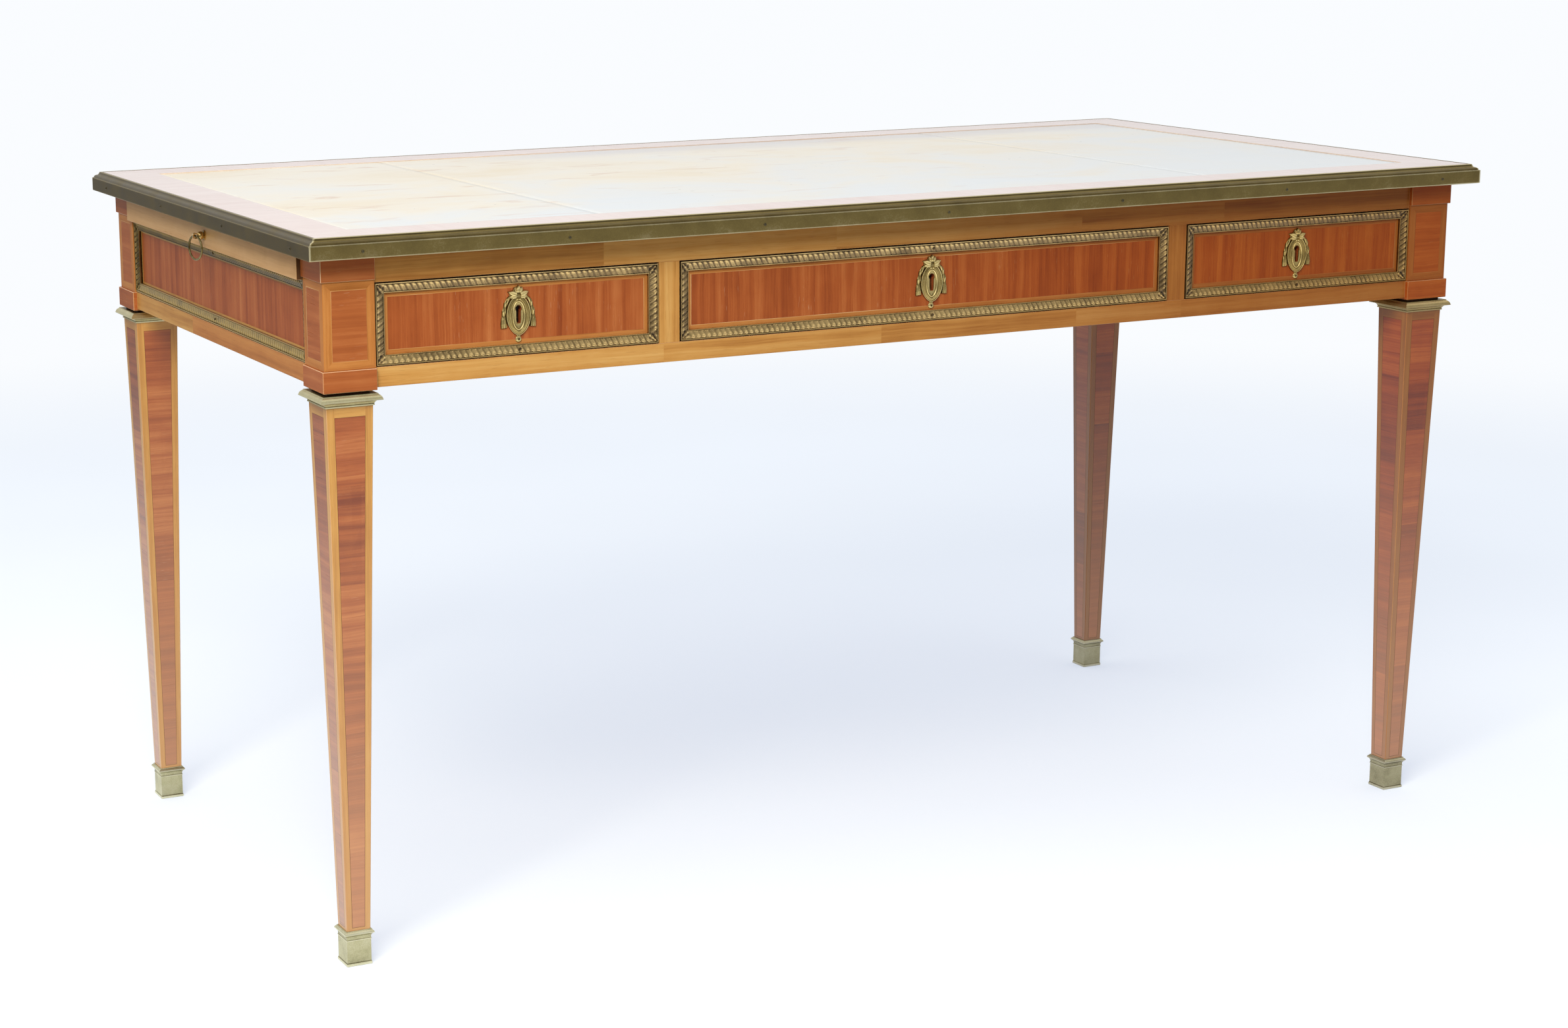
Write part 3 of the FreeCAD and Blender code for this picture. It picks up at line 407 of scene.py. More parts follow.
def dress(look, *names):
    """Gives a look to nodes of the frame that are shown as they are."""
    for name in names:
        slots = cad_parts[name].data.materials
        slots.clear()
        slots.append(look)


def right_of(out):
    """The direction to the right of someone who looks at a face."""
    return ALONG_X if out.z else UP.cross(out)


def top_of(out):
    return ALONG_Y * out.z if out.z else UP


def rectangle(low, high, out, edge=0.0):
    """One face of a box, inset by edge: bottom left, bottom right, top right, top left."""
    centre, half = (low + high) / 2, (high - low) / 2
    right, up = right_of(out), top_of(out)
    middle = centre + out * abs(half.dot(out))
    across = right * (abs(half.dot(right)) - edge)
    rise = up * (abs(half.dot(up)) - edge)
    return [middle - across - rise, middle + across - rise, middle + across + rise, middle - across + rise]


def inset(quad, side, bottom=None, top=None):
    """A smaller four-sided figure inside one whose top and bottom are parallel.

    side is the width of the margin, or its widths at the foot and at the head of the figure's sides.
    """
    foot_left, foot_right, head_right, head_left = quad
    height = ((head_left + head_right) / 2 - (foot_left + foot_right) / 2).length
    foot, head = side if isinstance(side, tuple) else (side, side)

    def level(share):
        start, end = foot_left.lerp(head_left, share), foot_right.lerp(head_right, share)
        step = (end - start).normalized() * (foot + (head - foot) * share)
        return start + step, end - step

    low_left, low_right = level((foot if bottom is None else bottom) / height)
    high_left, high_right = level(1 - (head if top is None else top) / height)
    return [low_left, low_right, high_right, high_left]


def joints(count, wander, seed):
    """Shares of a length at which leaves of veneer meet, with its two ends; wander is a share of a leaf."""
    chance = random.Random(seed)
    return [0.0, *[(number + chance.uniform(-wander, wander)) / count for number in range(1, count)], 1.0]


FOOT, RIGHT, HEAD, LEFT = range(4)


class Skin:
    """A four-sided figure on a face of a piece, and the veneer that is laid on it from its edges inwards."""

    def __init__(self, piece, quad, out):
        self.piece = piece
        self.quad = quad
        self.out = out
        self.right = right_of(out)

    def lay(self, corners, look, along):
        self.piece.face(corners, look, self.out, along)

    def band(self, look, *widths, edges=(FOOT, RIGHT, HEAD, LEFT)):
        """Bands along edges of the figure, mitred where they meet, with the grain along each edge."""
        outer, self.quad = self.quad, inset(self.quad, *widths)
        for start in edges:
            end = (start + 1) % 4
            along = self.right if start in (FOOT, HEAD) else top_of(self.out)
            self.lay([outer[start], outer[end], self.quad[end], self.quad[start]], look, along)

    def spot(self, across, up):
        """A point of the figure, by its shares of the width and the height."""
        foot_left, foot_right, head_right, head_left = self.quad
        return foot_left.lerp(foot_right, across).lerp(head_left.lerp(head_right, across), up)

    def leaves(self, count, seed, along, *looks, stacked=False):
        """Leaves of veneer side by side, or stacked, that fill the figure. Several looks take turns."""
        cuts = joints(count, LEAF_WANDER, seed)
        for look, low, high in zip(cycle(looks), cuts, cuts[1:]):
            left, right, bottom, top = (0, 1, low, high) if stacked else (low, high, 0, 1)
            spots = ((left, bottom), (right, bottom), (right, top), (left, top))
            self.lay([self.spot(*spot) for spot in spots], look, along)


def block(piece, corner, opposite, edge, look, along, worn=None, covers=()):
    """A box with chamfered edges between two corners. covers are the sides that have their own veneer."""
    low, high = Vector(map(min, corner, opposite)), Vector(map(max, corner, opposite))
    rim = worn or look
    for side, out in OUT.items():
        quad = rectangle(low, high, out, edge)
        if side in covers:
            covers[side](Skin(piece, quad, out))
        else:
            piece.face(quad, look, out, right_of(out) if along.dot(out) else along)

    def point(signs, axis):
        """The box's corner that signs name, moved in by the chamfer except along one axis."""
        return Vector([(high[n] if signs[n] > 0 else low[n]) - (0 if n == axis else signs[n] * edge)
                       for n in range(3)])

    for free, run in enumerate((ALONG_X, ALONG_Y, UP)):
        a, b = [n for n in range(3) if n != free]
        for sign_a, sign_b in product((-1, 1), repeat=2):
            out = Vector()
            out[a], out[b] = sign_a, sign_b
            start, end = out - run, out + run
            piece.face([point(start, a), point(end, a), point(end, b), point(start, b)], rim, out, run)
    for signs in product((-1, 1), repeat=3):
        piece.face([point(signs, axis) for axis in range(3)], rim, Vector(signs), leaf=0)


# Legs: sizes from the frame, and those that its boxes don't give

LEG_LOW, LEG_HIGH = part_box("leg_front_right")
COLLAR_LOW, COLLAR_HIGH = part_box("leg_collar_front_right")
SABOT_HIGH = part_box("sabot_front_right")[1]
INNER_X, POST_X, POST_TOP = LEG_LOW.x, LEG_HIGH.x, LEG_HIGH.z
POST_Y, INNER_Y = -LEG_LOW.y, -LEG_HIGH.y
LEG_X, LEG_Y = (POST_X + INNER_X) / 2, (POST_Y + INNER_Y) / 2
NECK, FOOT_IN_SABOT = 3 * MM, 3 * MM
POST_BOTTOM = COLLAR_HIGH.z + NECK
LEG_TOP, LEG_BOTTOM = COLLAR_LOW.z, SABOT_HIGH.z - FOOT_IN_SABOT
TOP_BLOCK, BOTTOM_BLOCK, RELIEF = 25 * MM, 22 * MM, 2.4 * MM
LEG_TOP_HALF, LEG_FOOT_HALF, NECK_HALF = 25.25 * MM, 13.1 * MM, 22.75 * MM
ARRIS, PANEL_ARRIS = 0.5 * MM, 0.35 * MM
POST_BAND, POST_LINE, LEG_LINE = 8.3 * MM, 0.6 * MM, 0.3 * MM
LEG_BAND, LEG_BAND_LOW, LEG_BAND_HIGH = (5.6 * MM, 8.0 * MM), 6 * MM, 10 * MM
POST_LEAVES, LEG_LEAVES = 2, 9


def post_panel(skin):
    skin.band(AMBER, POST_BAND)
    skin.band(LINE, POST_LINE)
    skin.leaves(POST_LEAVES, next(leaf_numbers), skin.right, TULIP_CROSS, stacked=True)


def make_leg(row, side):
    """A post with a banded panel on its outer faces, and a tapered leg banded on all four."""
    name = f"leg_{row}_{side}"
    piece = Piece(f"{name}_veneer")

    def spot(x, y, z):
        return Vector((x * SIDES[side], y * ROWS[row], z))

    def wall(out, low, low_half, high, high_half, edge=0.0):
        """One side of a square tapered length, short of its edges."""
        corners = ((low, low_half, -1), (low, low_half, 1), (high, high_half, 1), (high, high_half, -1))
        return [spot(LEG_X, LEG_Y, z) + out * half + right_of(out) * (sign * (half - edge))
                for z, half, sign in corners]

    panel_low, panel_high = POST_BOTTOM + BOTTOM_BLOCK, POST_TOP - TOP_BLOCK
    for low, high in ((panel_high, POST_TOP), (POST_BOTTOM, panel_low)):
        block(piece, spot(INNER_X, INNER_Y, low), spot(POST_X, POST_Y, high), ARRIS, TULIP_CROSS, ALONG_X,
              WORN)
    outer_faces = (side, "front" if row == "front" else "back")
    block(piece, spot(INNER_X, INNER_Y, panel_low), spot(POST_X - RELIEF, POST_Y - RELIEF, panel_high),
          PANEL_ARRIS, AMBER, UP, covers=dict.fromkeys(outer_faces, post_panel))
    for out in (OUT["right"], OUT["left"], OUT["back"], OUT["front"]):
        right = right_of(out)
        # The neck between collar and post takes the dark wood: painted shade in the recess.
        piece.face(wall(out, LEG_TOP, NECK_HALF, POST_BOTTOM, NECK_HALF), DARK, out, UP, leaf=0)
        quad = wall(out, LEG_BOTTOM, LEG_FOOT_HALF, LEG_TOP, LEG_TOP_HALF, ARRIS)
        skin = Skin(piece, quad, out)
        skin.band(SATIN_LEG, LEG_BAND, 0, 0, edges=(LEFT, RIGHT))
        skin.band(SATIN_LEG, 0, LEG_BAND_LOW, LEG_BAND_HIGH, edges=(FOOT, HEAD))
        skin.band(DARK, LEG_LINE)
        skin.leaves(LEG_LEAVES, next(leaf_numbers), right, TULIP_LEG, stacked=True)
        chamfer = (right - out) * ARRIS
        piece.face([quad[1], quad[1] + chamfer, quad[2] + chamfer, quad[2]], WORN, out + right, UP)
    piece.finish("tulipwood", "desk", name)


# Bronze mouldings. Profiles are in mm: reach (for the top's edge, setback), level and wear

def curve(start, end, bulge, count, wear):
    """Points of a curved moulding between two (reach, level) points; bulge is its height."""
    start, end = np.array(start), np.array(end)
    chord = end - start
    normal = np.array([chord[1], -chord[0]]) / np.hypot(*chord)
    return [(*(start + chord * s + normal * bulge * 4 * s * (1 - s)), wear) for s in np.linspace(0, 1, count)]


COLLAR_PROFILE = [(-2.5, 0, 0.1), (0.5, 0, 0.2), (1.2, 0.3, 0.9), (1.2, 1.6, 0.8), (0.8, 1.9, 0.1),
                  (0.9, 2.4, 0.3), *curve((1.1, 2.6), (7.2, 5.9), -1.3, 7, 0.45), (8.2, 6.3, 1.0),
                  (8.2, 6.9, 1.0), *curve((7.9, 7.3), (4.6, 11.6), 0.7, 6, 0.7), (4.2, 12.6, 0.5),
                  (-2.5, 12.6, 0.0)]
SABOT_PROFILE = [(12.4, 0, 0.1), (13.9, 0.2, 0.4), (14.1, 0.8, 0.9), (14.1, 2.9, 0.7), (13.6, 3.4, 0.1),
                 (13.4, 4.2, 0.5), (13.4, 27.4, 0.5), (13.9, 27.9, 0.9), (13.9, 28.7, 0.8), (13.5, 29.1, 0.1),
                 *curve((13.5, 29.6), (16.0, 34.7), -1.0, 6, 0.4), (16.5, 35.1, 1.0), (16.5, 36.0, 1.0),
                 *curve((16.2, 36.4), (14.6, 38.0), 0.2, 4, 0.7), (14.3, 38.3, 0.2), (14.3, 39.0, 0.8),
                 (12.6, 39.0, 0.1)]
EDGE_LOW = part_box("top_edge_left")[0]
TOP_X, TOP_Y, EDGE_Z = -EDGE_LOW.x, -EDGE_LOW.y, EDGE_LOW.z
EDGE_PROFILE = [(10, 0, 0.2), (0.7, 0, 0.5), (0, 0.5, 1.0), (0, 1.1, 0.8), (0, 1.6, 0.5), (0, 14.2, 0.45),
                (0, 14.6, 0.7), (0.2, 15.3, 0.9), (0.9, 15.5, 0.8), (1.3, 15.4, 0.0),
                *curve((1.5, 15.6), (3.4, 18.3), -0.5, 5, 0.25), (3.8, 18.3, 0.65),
                *curve((3.9, 18.5), (6.4, 20.5), 0.6, 6, 0.4), (6.7, 20.4, 0.0), (6.9, 21.6, 0.6),
                (7.3, 22.2, 1.3), (9.2, 22.2, 1.1), (10, 22.2, 0.1), (10, 21.6, 0.0)]
CORNER_WEAR, CORNER_SHINE = 2.2 * MM, 0.7
# Painted shade at the desk's ends: the lowest wear there, and how much of the profile's wear is kept
END_PAINTED_SHADE, END_CONTRAST = 0.12, 0.4
PIN_INSET, LONG_SIDE_PINS, SHORT_SIDE_PINS = 56 * MM, 7, 4
# Round heads: sizes of a pin's in mm, and the rings of any head as shares of its radius
PIN_RADIUS, PIN_HEIGHT = 1.7, 0.9
DOME_SIDES, DOME_RINGS = 10, (1.0, 0.92, 0.7, 0.4, 0.08)


def square_ring(piece, centre, half, profile, look):
    """A square moulding around a leg, whose profile starts at a half width; gives its lowest corners."""
    rows = []
    for reach, z, wear in profile:
        width = half + reach * MM
        signs = ((-1, -1), (1, -1), (1, 1), (-1, 1))
        rows.append([(centre + Vector((a * width, b * width, z * MM)), wear) for a, b in signs])
    piece.sheet(rows, look, closed=True)
    return [point for point, wear in rows[0]]


def make_mounts(row, side):
    """A leg's collar and its sabot."""
    floor = Vector((LEG_X * SIDES[side], LEG_Y * ROWS[row], 0))
    collar = Piece(f"collar_{row}_{side}_moulding")
    square_ring(collar, floor + UP * LEG_TOP, LEG_TOP_HALF, COLLAR_PROFILE, COLLAR)
    collar.finish("gilt_bronze", "desk", f"leg_collar_{row}_{side}")
    sabot = Piece(f"sabot_{row}_{side}_moulding")
    sole = square_ring(sabot, floor, 0, SABOT_PROFILE, PALE)
    sabot.face(sole, PALE, -UP, leaf=0)
    sabot.finish("gilt_bronze", "desk", f"sabot_{row}_{side}")


def make_top_edge(side):
    """A length of the top's mitred moulding, bare at its corners and darker at the desk's ends as painted
    shade.
    """
    piece = Piece(f"top_edge_{side}_moulding")
    out, right = OUT[side], right_of(OUT[side])
    reach, length = (TOP_Y, TOP_X) if out.y else (TOP_X, TOP_Y)
    rows = []
    for setback, z, wear in EDGE_PROFILE:
        # Painted shade: at the desk's ends the moulding is darker, with less difference between hollow and
        # crest.
        wear = END_PAINTED_SHADE + wear * END_CONTRAST if out.x else wear
        run = length - setback * MM
        line = out * (reach - setback * MM) + UP * (EDGE_Z + z * MM)
        stations = ((-run, CORNER_SHINE), (CORNER_WEAR - run, 0), (run - CORNER_WEAR, 0), (run, CORNER_SHINE))
        rows.append([(line + right * along, wear + shine) for along, shine in stations])
    piece.sheet(rows, EDGE)
    piece.finish("gilt_bronze", "desk", f"top_edge_{side}")


def dome(piece, centre, out, radius, height, look, wear=0.5):
    """A round head on a flat face; its radius and height are in mm."""
    right = right_of(out)
    up = out.cross(right)
    turns = np.linspace(0, tau, DOME_SIDES, endpoint=False)
    rows = []
    for share in DOME_RINGS:
        middle = centre + out * (height * sqrt(1 - share * share) * MM)
        rows.append([(middle + (right * cos(a) + up * sin(a)) * (radius * share * MM), wear) for a in turns])
    piece.sheet(rows, look, closed=True)


def make_pins():
    """Round heads along the brass edge, where the frame has its pins."""
    piece = Piece("top_edge_pin_heads")
    level = sum(corner.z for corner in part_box("top_edge_pins")) / 2
    for side in AROUND:
        out = OUT[side]
        count, length, reach = (LONG_SIDE_PINS, TOP_X, TOP_Y) if out.y else (SHORT_SIDE_PINS, TOP_Y, TOP_X)
        for share in np.linspace(-1, 1, count):
            along = right_of(out) * ((length - PIN_INSET) * share)
            dome(piece, out * reach + along + UP * level, out, PIN_RADIUS, PIN_HEIGHT, PIN)
    piece.finish("gilt_bronze", "desk", "top_edge_pins")


# Leaf frames. Sizes of the moulding are in mm

FRAME_WIDTH, LEAF_PITCH, LEAF_STEPS = 10.0, 6.3, 9
RIM_IN, LEAF_IN, LEAF_OUT, RIM_OUT = 1.0, 1.5, 8.7, 9.1
LEAF_LINES = [0.0, 0.0, 0.9, 1.2, *np.linspace(LEAF_IN, LEAF_OUT, 8), 9.0, 9.3, FRAME_WIDTH, FRAME_WIDTH]
CORNER_LEAF, LOW_BAR_PAINTED_SHEEN = 11.0, 0.3
BEAD_LEVEL, FRAME_BEAD = 4.6, {"radius": 1.6, "height": 1.3, "wear": 0.25}


def leaf_line(a, b, length):
    """Height and wear of the moulding at places a along a bar, on a line b in from its outer edge."""
    base = 6.2 - 0.28 * b
    flat = np.ones_like(a)
    if b < RIM_IN or b > RIM_OUT:
        return flat * (base - 0.1), flat * 0.75
    if b < LEAF_IN or b > LEAF_OUT:
        return flat * (base - 1.0), flat * 0.0
    # t is the share of the way across the leaves, s the distance from a leaf's middle, in leaves
    t = np.clip((b - 1.3) / 7.6, 0, 1)
    phase = a / length * round(length / LEAF_PITCH) + 0.7 * t
    s = np.abs(phase - np.floor(phase) - 0.5)
    bulb = 1.3 * np.sqrt(np.clip(1 - (s / 0.42) ** 2 - ((t - 0.2) / 0.24) ** 2, 0, 1))
    blade = (1 - (2 * s) ** 2.5) * (0.95 - 0.4 * t) - 0.3 * np.exp(-(s / 0.07) ** 2)
    lift = np.maximum(bulb, blade * np.clip(t * 6 - 1.2, 0, 1)) - 0.8
    # r and turn place a point around the frame's corner; turn is 0 on the mitre
    end = np.minimum(a, length - a)
    r, turn = np.hypot(end, b), np.arctan2(b, np.maximum(end, 1e-6)) - pi / 4
    corner = 0.55 * np.cos(turn * 12) * np.clip(r / 4, 0, 1) + 0.35 * np.cos(r * 1.5) - 0.45
    near = np.clip((CORNER_LEAF - end) / 2.0, 0, 1)
    lift = lift * (1 - near) + corner * near
    return base + lift, np.clip(0.72 + 0.55 * lift - 0.05 * near, 0, 1.2)


def add_leaf_frame(piece, out, centre, size, look):
    """A mitred frame of leaf moulding that stands on a panel and faces out; size is its length and height."""
    right = right_of(out)
    for turn in range(4):
        run, other = [side / MM for side in (size[::-1] if turn % 2 else size)]
        shares = np.linspace(0, 1, round(run / LEAF_PITCH) * LEAF_STEPS + 1)
        # The lowest bar is lightened: a painted reflection of the bright floor.
        shine = LOW_BAR_PAINTED_SHEEN if turn == 0 else 0
        angle = turn * pi / 2
        axis_a = right * cos(angle) + UP * sin(angle)
        axis_b = UP * cos(angle) - right * sin(angle)
        rows = []
        for number, b in enumerate(LEAF_LINES):
            a = b + (run - 2 * b) * shares
            lift, wear = leaf_line(a, b, run)
            if number in (0, len(LEAF_LINES) - 1):
                lift, wear = lift * 0, wear * 0
            origin = centre + axis_b * ((b - other / 2) * MM)
            rows.append([(origin + axis_a * ((p - run / 2) * MM) + out * (h * MM), w + shine)
                         for p, h, w in zip(a, lift, wear)])
        piece.sheet(rows, look)
        if turn % 2 == 0:
            middle = centre + axis_b * ((FRAME_WIDTH / 2 - other / 2) * MM) + out * BEAD_LEVEL * MM
            dome(piece, middle, out, look=look, **FRAME_BEAD)


def leaf_frame(node, body, out, centre, size, look):
    """A leaf frame of its own in the place of a node."""
    piece = Piece(f"{node}_leaves")
    add_leaf_frame(piece, out, centre, size, look)
    piece.finish("gilt_bronze", body, node)


# Rails, dividers and framed panels of the apron

RAIL_LOW, RAIL_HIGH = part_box("front_top_rail")
BOTTOM_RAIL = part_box("front_bottom_rail")
FRONT_Y, RAIL_BACK = -RAIL_LOW.y, -RAIL_HIGH.y
APRON_BOTTOM, BAY_BOTTOM, BAY_TOP = BOTTOM_RAIL[0].z, BOTTOM_RAIL[1].z, RAIL_LOW.z
BAY_LEVEL = (BAY_TOP + BAY_BOTTOM) / 2
DRAWER = {bay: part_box(f"drawer_{bay}_front") for bay in BAYS}
PANEL_Y = -DRAWER["left"][0].y
DRAWER_GAP = 1.3 * MM
DIVIDER = (DRAWER["middle"][1].x + DRAWER_GAP, DRAWER["right"][0].x - DRAWER_GAP)
RAIL_ARRIS, DIVIDER_ARRIS, BOARD_ARRIS, END_CRACK = 0.3 * MM, 0.2 * MM, 0.1 * MM, 0.6 * MM
MORTISE_DEPTH, BOLT_ROOM = 8 * MM, 0.4 * MM
FRAME_SEAT, END_MARGIN, END_PANEL_SUNK = 11.2 * MM, 2.2 * MM, 5 * MM
PANEL_BAND, PANEL_LINE = 4.4 * MM, 0.5 * MM
RAIL_LEAVES, END_RAIL_LEAVES, END_PANEL_LEAVES = 5, 2, 7
BACK_LEAVES = {"left": 4, "middle": 8, "right": 4}
TOP_RAIL_SEED, BOTTOM_RAIL_SEED, END_RAIL_SEED, END_PANEL_SEED = 11, 23, 31, 41
BACK_TOP_SEED, BACK_BOTTOM_SEED, BACK_PANEL_SEED = 51, 52, 60


def jointed(count, seed, *looks):
    """A cover of veneer leaves butted end to end along a rail, with a pale crack at each end."""
    def cover(skin):
        skin.band(WORN, END_CRACK, 0, 0, edges=(LEFT, RIGHT))
        skin.leaves(count, seed, skin.right, *looks)
    return cover


def flat_quad(x0, x1, y0, y1, z):
    return [Vector(spot) for spot in ((x0, y0, z), (x1, y0, z), (x1, y1, z), (x0, y1, z))]


def mortised(skin):
    """The underside of the top rail, open where the lock bolts rise into it."""
    left, right = sorted((skin.quad[0].x, skin.quad[2].x))
    front, back = sorted((skin.quad[0].y, skin.quad[2].y))
    z, rise = skin.quad[0].z, UP * MORTISE_DEPTH
    bolts = [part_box(f"drawer_{bay}_lock_bolt") for bay in BAYS]
    near, far = bolts[0][0].y - BOLT_ROOM, bolts[0][1].y + BOLT_ROOM
    skin.lay(flat_quad(left, right, front, near, z), SATIN, ALONG_X)
    skin.lay(flat_quad(left, right, far, back, z), SATIN, ALONG_X)
    for low, high in bolts:
        mouth = flat_quad(low.x - BOLT_ROOM, high.x + BOLT_ROOM, near, far, z)
        middle = (mouth[0] + mouth[2]) / 2
        skin.lay(flat_quad(left, mouth[0].x, near, far, z), SATIN, ALONG_X)
        skin.lay([corner + rise for corner in mouth], SATIN, ALONG_X)
        for a, b in zip(mouth, mouth[1:] + mouth[:1]):
            skin.piece.face([a, b, b + rise, a + rise], SATIN, middle - (a + b) / 2, UP)
        left = mouth[1].x
    skin.lay(flat_quad(left, right, near, far, z), SATIN, ALONG_X)


def add_dividers(piece, face, back):
    """The uprights between the bays."""
    for sign in (-1, 1):
        block(piece, (DIVIDER[0] * sign, face, BAY_BOTTOM), (DIVIDER[1] * sign, back, BAY_TOP), DIVIDER_ARRIS,
              SATIN, UP)


def add_rail(piece, face, back, low, high, covers):
    """A rail between the legs."""
    block(piece, (-INNER_X, face, low), (INNER_X, back, high), RAIL_ARRIS, SATIN, ALONG_X, WORN, covers)


def make_rails():
    """The front rails, and the dividers between them."""
    rails = (("front_top_rail", BAY_TOP, POST_TOP, TOP_RAIL_SEED, {"bottom": mortised}),
             ("front_bottom_rail", APRON_BOTTOM, BAY_BOTTOM, BOTTOM_RAIL_SEED, {}))
    for name, low, high, seed, more in rails:
        piece = Piece(f"{name}_veneer")
        covers = {"front": jointed(RAIL_LEAVES, seed, SATIN), **more}
        add_rail(piece, -FRONT_Y, -RAIL_BACK, low, high, covers)
        piece.finish("satinwood", "desk", name)
    piece = Piece("drawer_dividers_veneer")
    add_dividers(piece, -FRONT_Y, -RAIL_BACK)
    piece.finish("satinwood", "desk", "drawer_dividers")


def panel_border(skin):
    """A light border and its stringing."""
    skin.band(AMBER, PANEL_BAND)
    skin.band(LINE, PANEL_LINE)


def end_panel(skin):
    skin.band(SATIN, FRAME_SEAT)
    skin.band(SATIN, END_MARGIN)
    skin.leaves(END_PANEL_LEAVES, END_PANEL_SEED, UP, TULIP)


def end_faces(side, node):
    """X of a node's outer and inner face, at one end of the desk."""
    low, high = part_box(node)
    return (low.x, high.x) if side == "left" else (high.x, low.x)


def make_end(side):
    """The board under a writing slide: bottom rail and framed panel."""
    name, frame_name = f"end_apron_{side}", f"end_frame_{side}"
    low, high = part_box(name)
    face_x, back_x = end_faces(side, name)
    panel_x = face_x - SIDES[side] * END_PANEL_SUNK
    piece = Piece(f"{name}_veneer")
    block(piece, (face_x, -INNER_Y, low.z), (back_x, INNER_Y, BAY_BOTTOM), RAIL_ARRIS, SATIN, ALONG_Y, WORN,
          {side: jointed(END_RAIL_LEAVES, END_RAIL_SEED, SATIN, AMBER)})
    block(piece, (panel_x, -INNER_Y, BAY_BOTTOM), (back_x, INNER_Y, high.z), BOARD_ARRIS, OAK_Y, ALONG_Y,
          covers={side: end_panel})
    piece.finish("tulipwood", "desk", name)
    low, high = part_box(frame_name)
    centre = Vector((panel_x, (low.y + high.y) / 2, (low.z + high.z) / 2))
    # The end frame takes the darker copy of the leaf bronze: painted shade.
    leaf_frame(frame_name, "desk", OUT[side], centre, (high.y - low.y, high.z - low.z), LEAF_END_SHADED)


def panel_middle(bay, y):
    """The middle of a drawer's panel, at a depth."""
    low, high = DRAWER[bay]
    return Vector(((low.x + high.x) / 2, y, BAY_LEVEL))


def panel_size(bay):
    low, high = DRAWER[bay]
    return high.x - low.x, high.z - low.z


def back_panel(bay, number, skin):
    skin.band(SATIN, FRAME_SEAT)
    panel_border(skin)
    skin.leaves(BACK_LEAVES[bay], BACK_PANEL_SEED + number, UP, TULIP)


def make_back():
    """Rails, stiles and three framed panels that match the front."""
    piece, frames = Piece("back_apron_veneer"), Piece("back_frame_leaves")
    low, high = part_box("back_apron")
    face, back = high.y, low.y
    for low_z, high_z, seed in ((BAY_TOP, high.z, BACK_TOP_SEED), (low.z, BAY_BOTTOM, BACK_BOTTOM_SEED)):
        covers = {"back": jointed(RAIL_LEAVES, seed, SATIN), "front": jointed(1, seed, OAK_X)}
        add_rail(piece, face, back, low_z, high_z, covers)
    add_dividers(piece, face, back)
    for number, bay in enumerate(BAYS):
        low_x, high_x = DRAWER[bay][0].x - DRAWER_GAP, DRAWER[bay][1].x + DRAWER_GAP
        block(piece, (low_x, back, BAY_BOTTOM), (high_x, PANEL_Y, BAY_TOP), BOARD_ARRIS, OAK_X, ALONG_X,
              covers={"back": partial(back_panel, bay, number)})
        add_leaf_frame(frames, OUT["back"], panel_middle(bay, PANEL_Y), panel_size(bay), LEAF)
    piece.finish("tulipwood", "desk", "back_apron")
    frames.finish("gilt_bronze", "desk", "back_frames")


# Drawer fronts. Sizes of the keyhole and the escutcheon are in mm from the middle of the panel

VENEER, FRAME_LAP = 0.4 * MM, 0.2 * MM
VENEER_Y = -PANEL_Y - VENEER
DRAWER_HALF_LEAVES = {"left": 2, "middle": 4, "right": 2}
LEFT_HALF_SEED, RIGHT_HALF_SEED = 70, 80
KEY_LIFT, KEY_RADIUS, KEY_HALF_SLOT, KEY_DROP, KEY_EYE = 4.9, 3.4, 2.5, 15.0, 2.0
KEY_DIRECTIONS = 52
SEAT_HALF, SEAT_LOW, SEAT_HIGH = 6.0, -16.0, 11.0
TINY = 1e-9


def box_reach(angle, half, rise, drop):
    """How far it is in one direction to the side of an upright box around the keyhole's eye."""
    across, up = cos(angle), sin(angle)
    return min(half / max(abs(across), TINY), (rise if up > 0 else drop) / max(abs(up), TINY))


def key_reach(angle, grow=0.0):
    """How far the keyhole reaches in one direction from its eye, a point inside it."""
    bend, radius = KEY_LIFT - KEY_EYE, KEY_RADIUS + grow
    slot = box_reach(angle, KEY_HALF_SLOT + grow, bend, KEY_DROP - bend + grow)
    lift = bend * sin(angle)
    room = lift ** 2 - bend ** 2 + radius ** 2
    return max(slot, lift + sqrt(room)) if room > 0 else slot


def key_angles(grow=0.0):
    """Directions that draw the keyhole's outline, its two lower corners and those of its seat among them."""
    corners = ((KEY_HALF_SLOT + grow, KEY_LIFT - KEY_DROP - grow), (SEAT_HALF, SEAT_LOW),
               (SEAT_HALF, SEAT_HIGH))
    marks = [atan2(y - KEY_EYE, x) for x, y in corners]
    marks += [pi - mark for mark in marks]
    return sorted([mark % tau for mark in marks] + [tau * n / KEY_DIRECTIONS for n in range(KEY_DIRECTIONS)])


def from_eye(angle, reach):
    """The point at a distance from the keyhole's eye."""
    return cos(angle) * reach, KEY_EYE + sin(angle) * reach


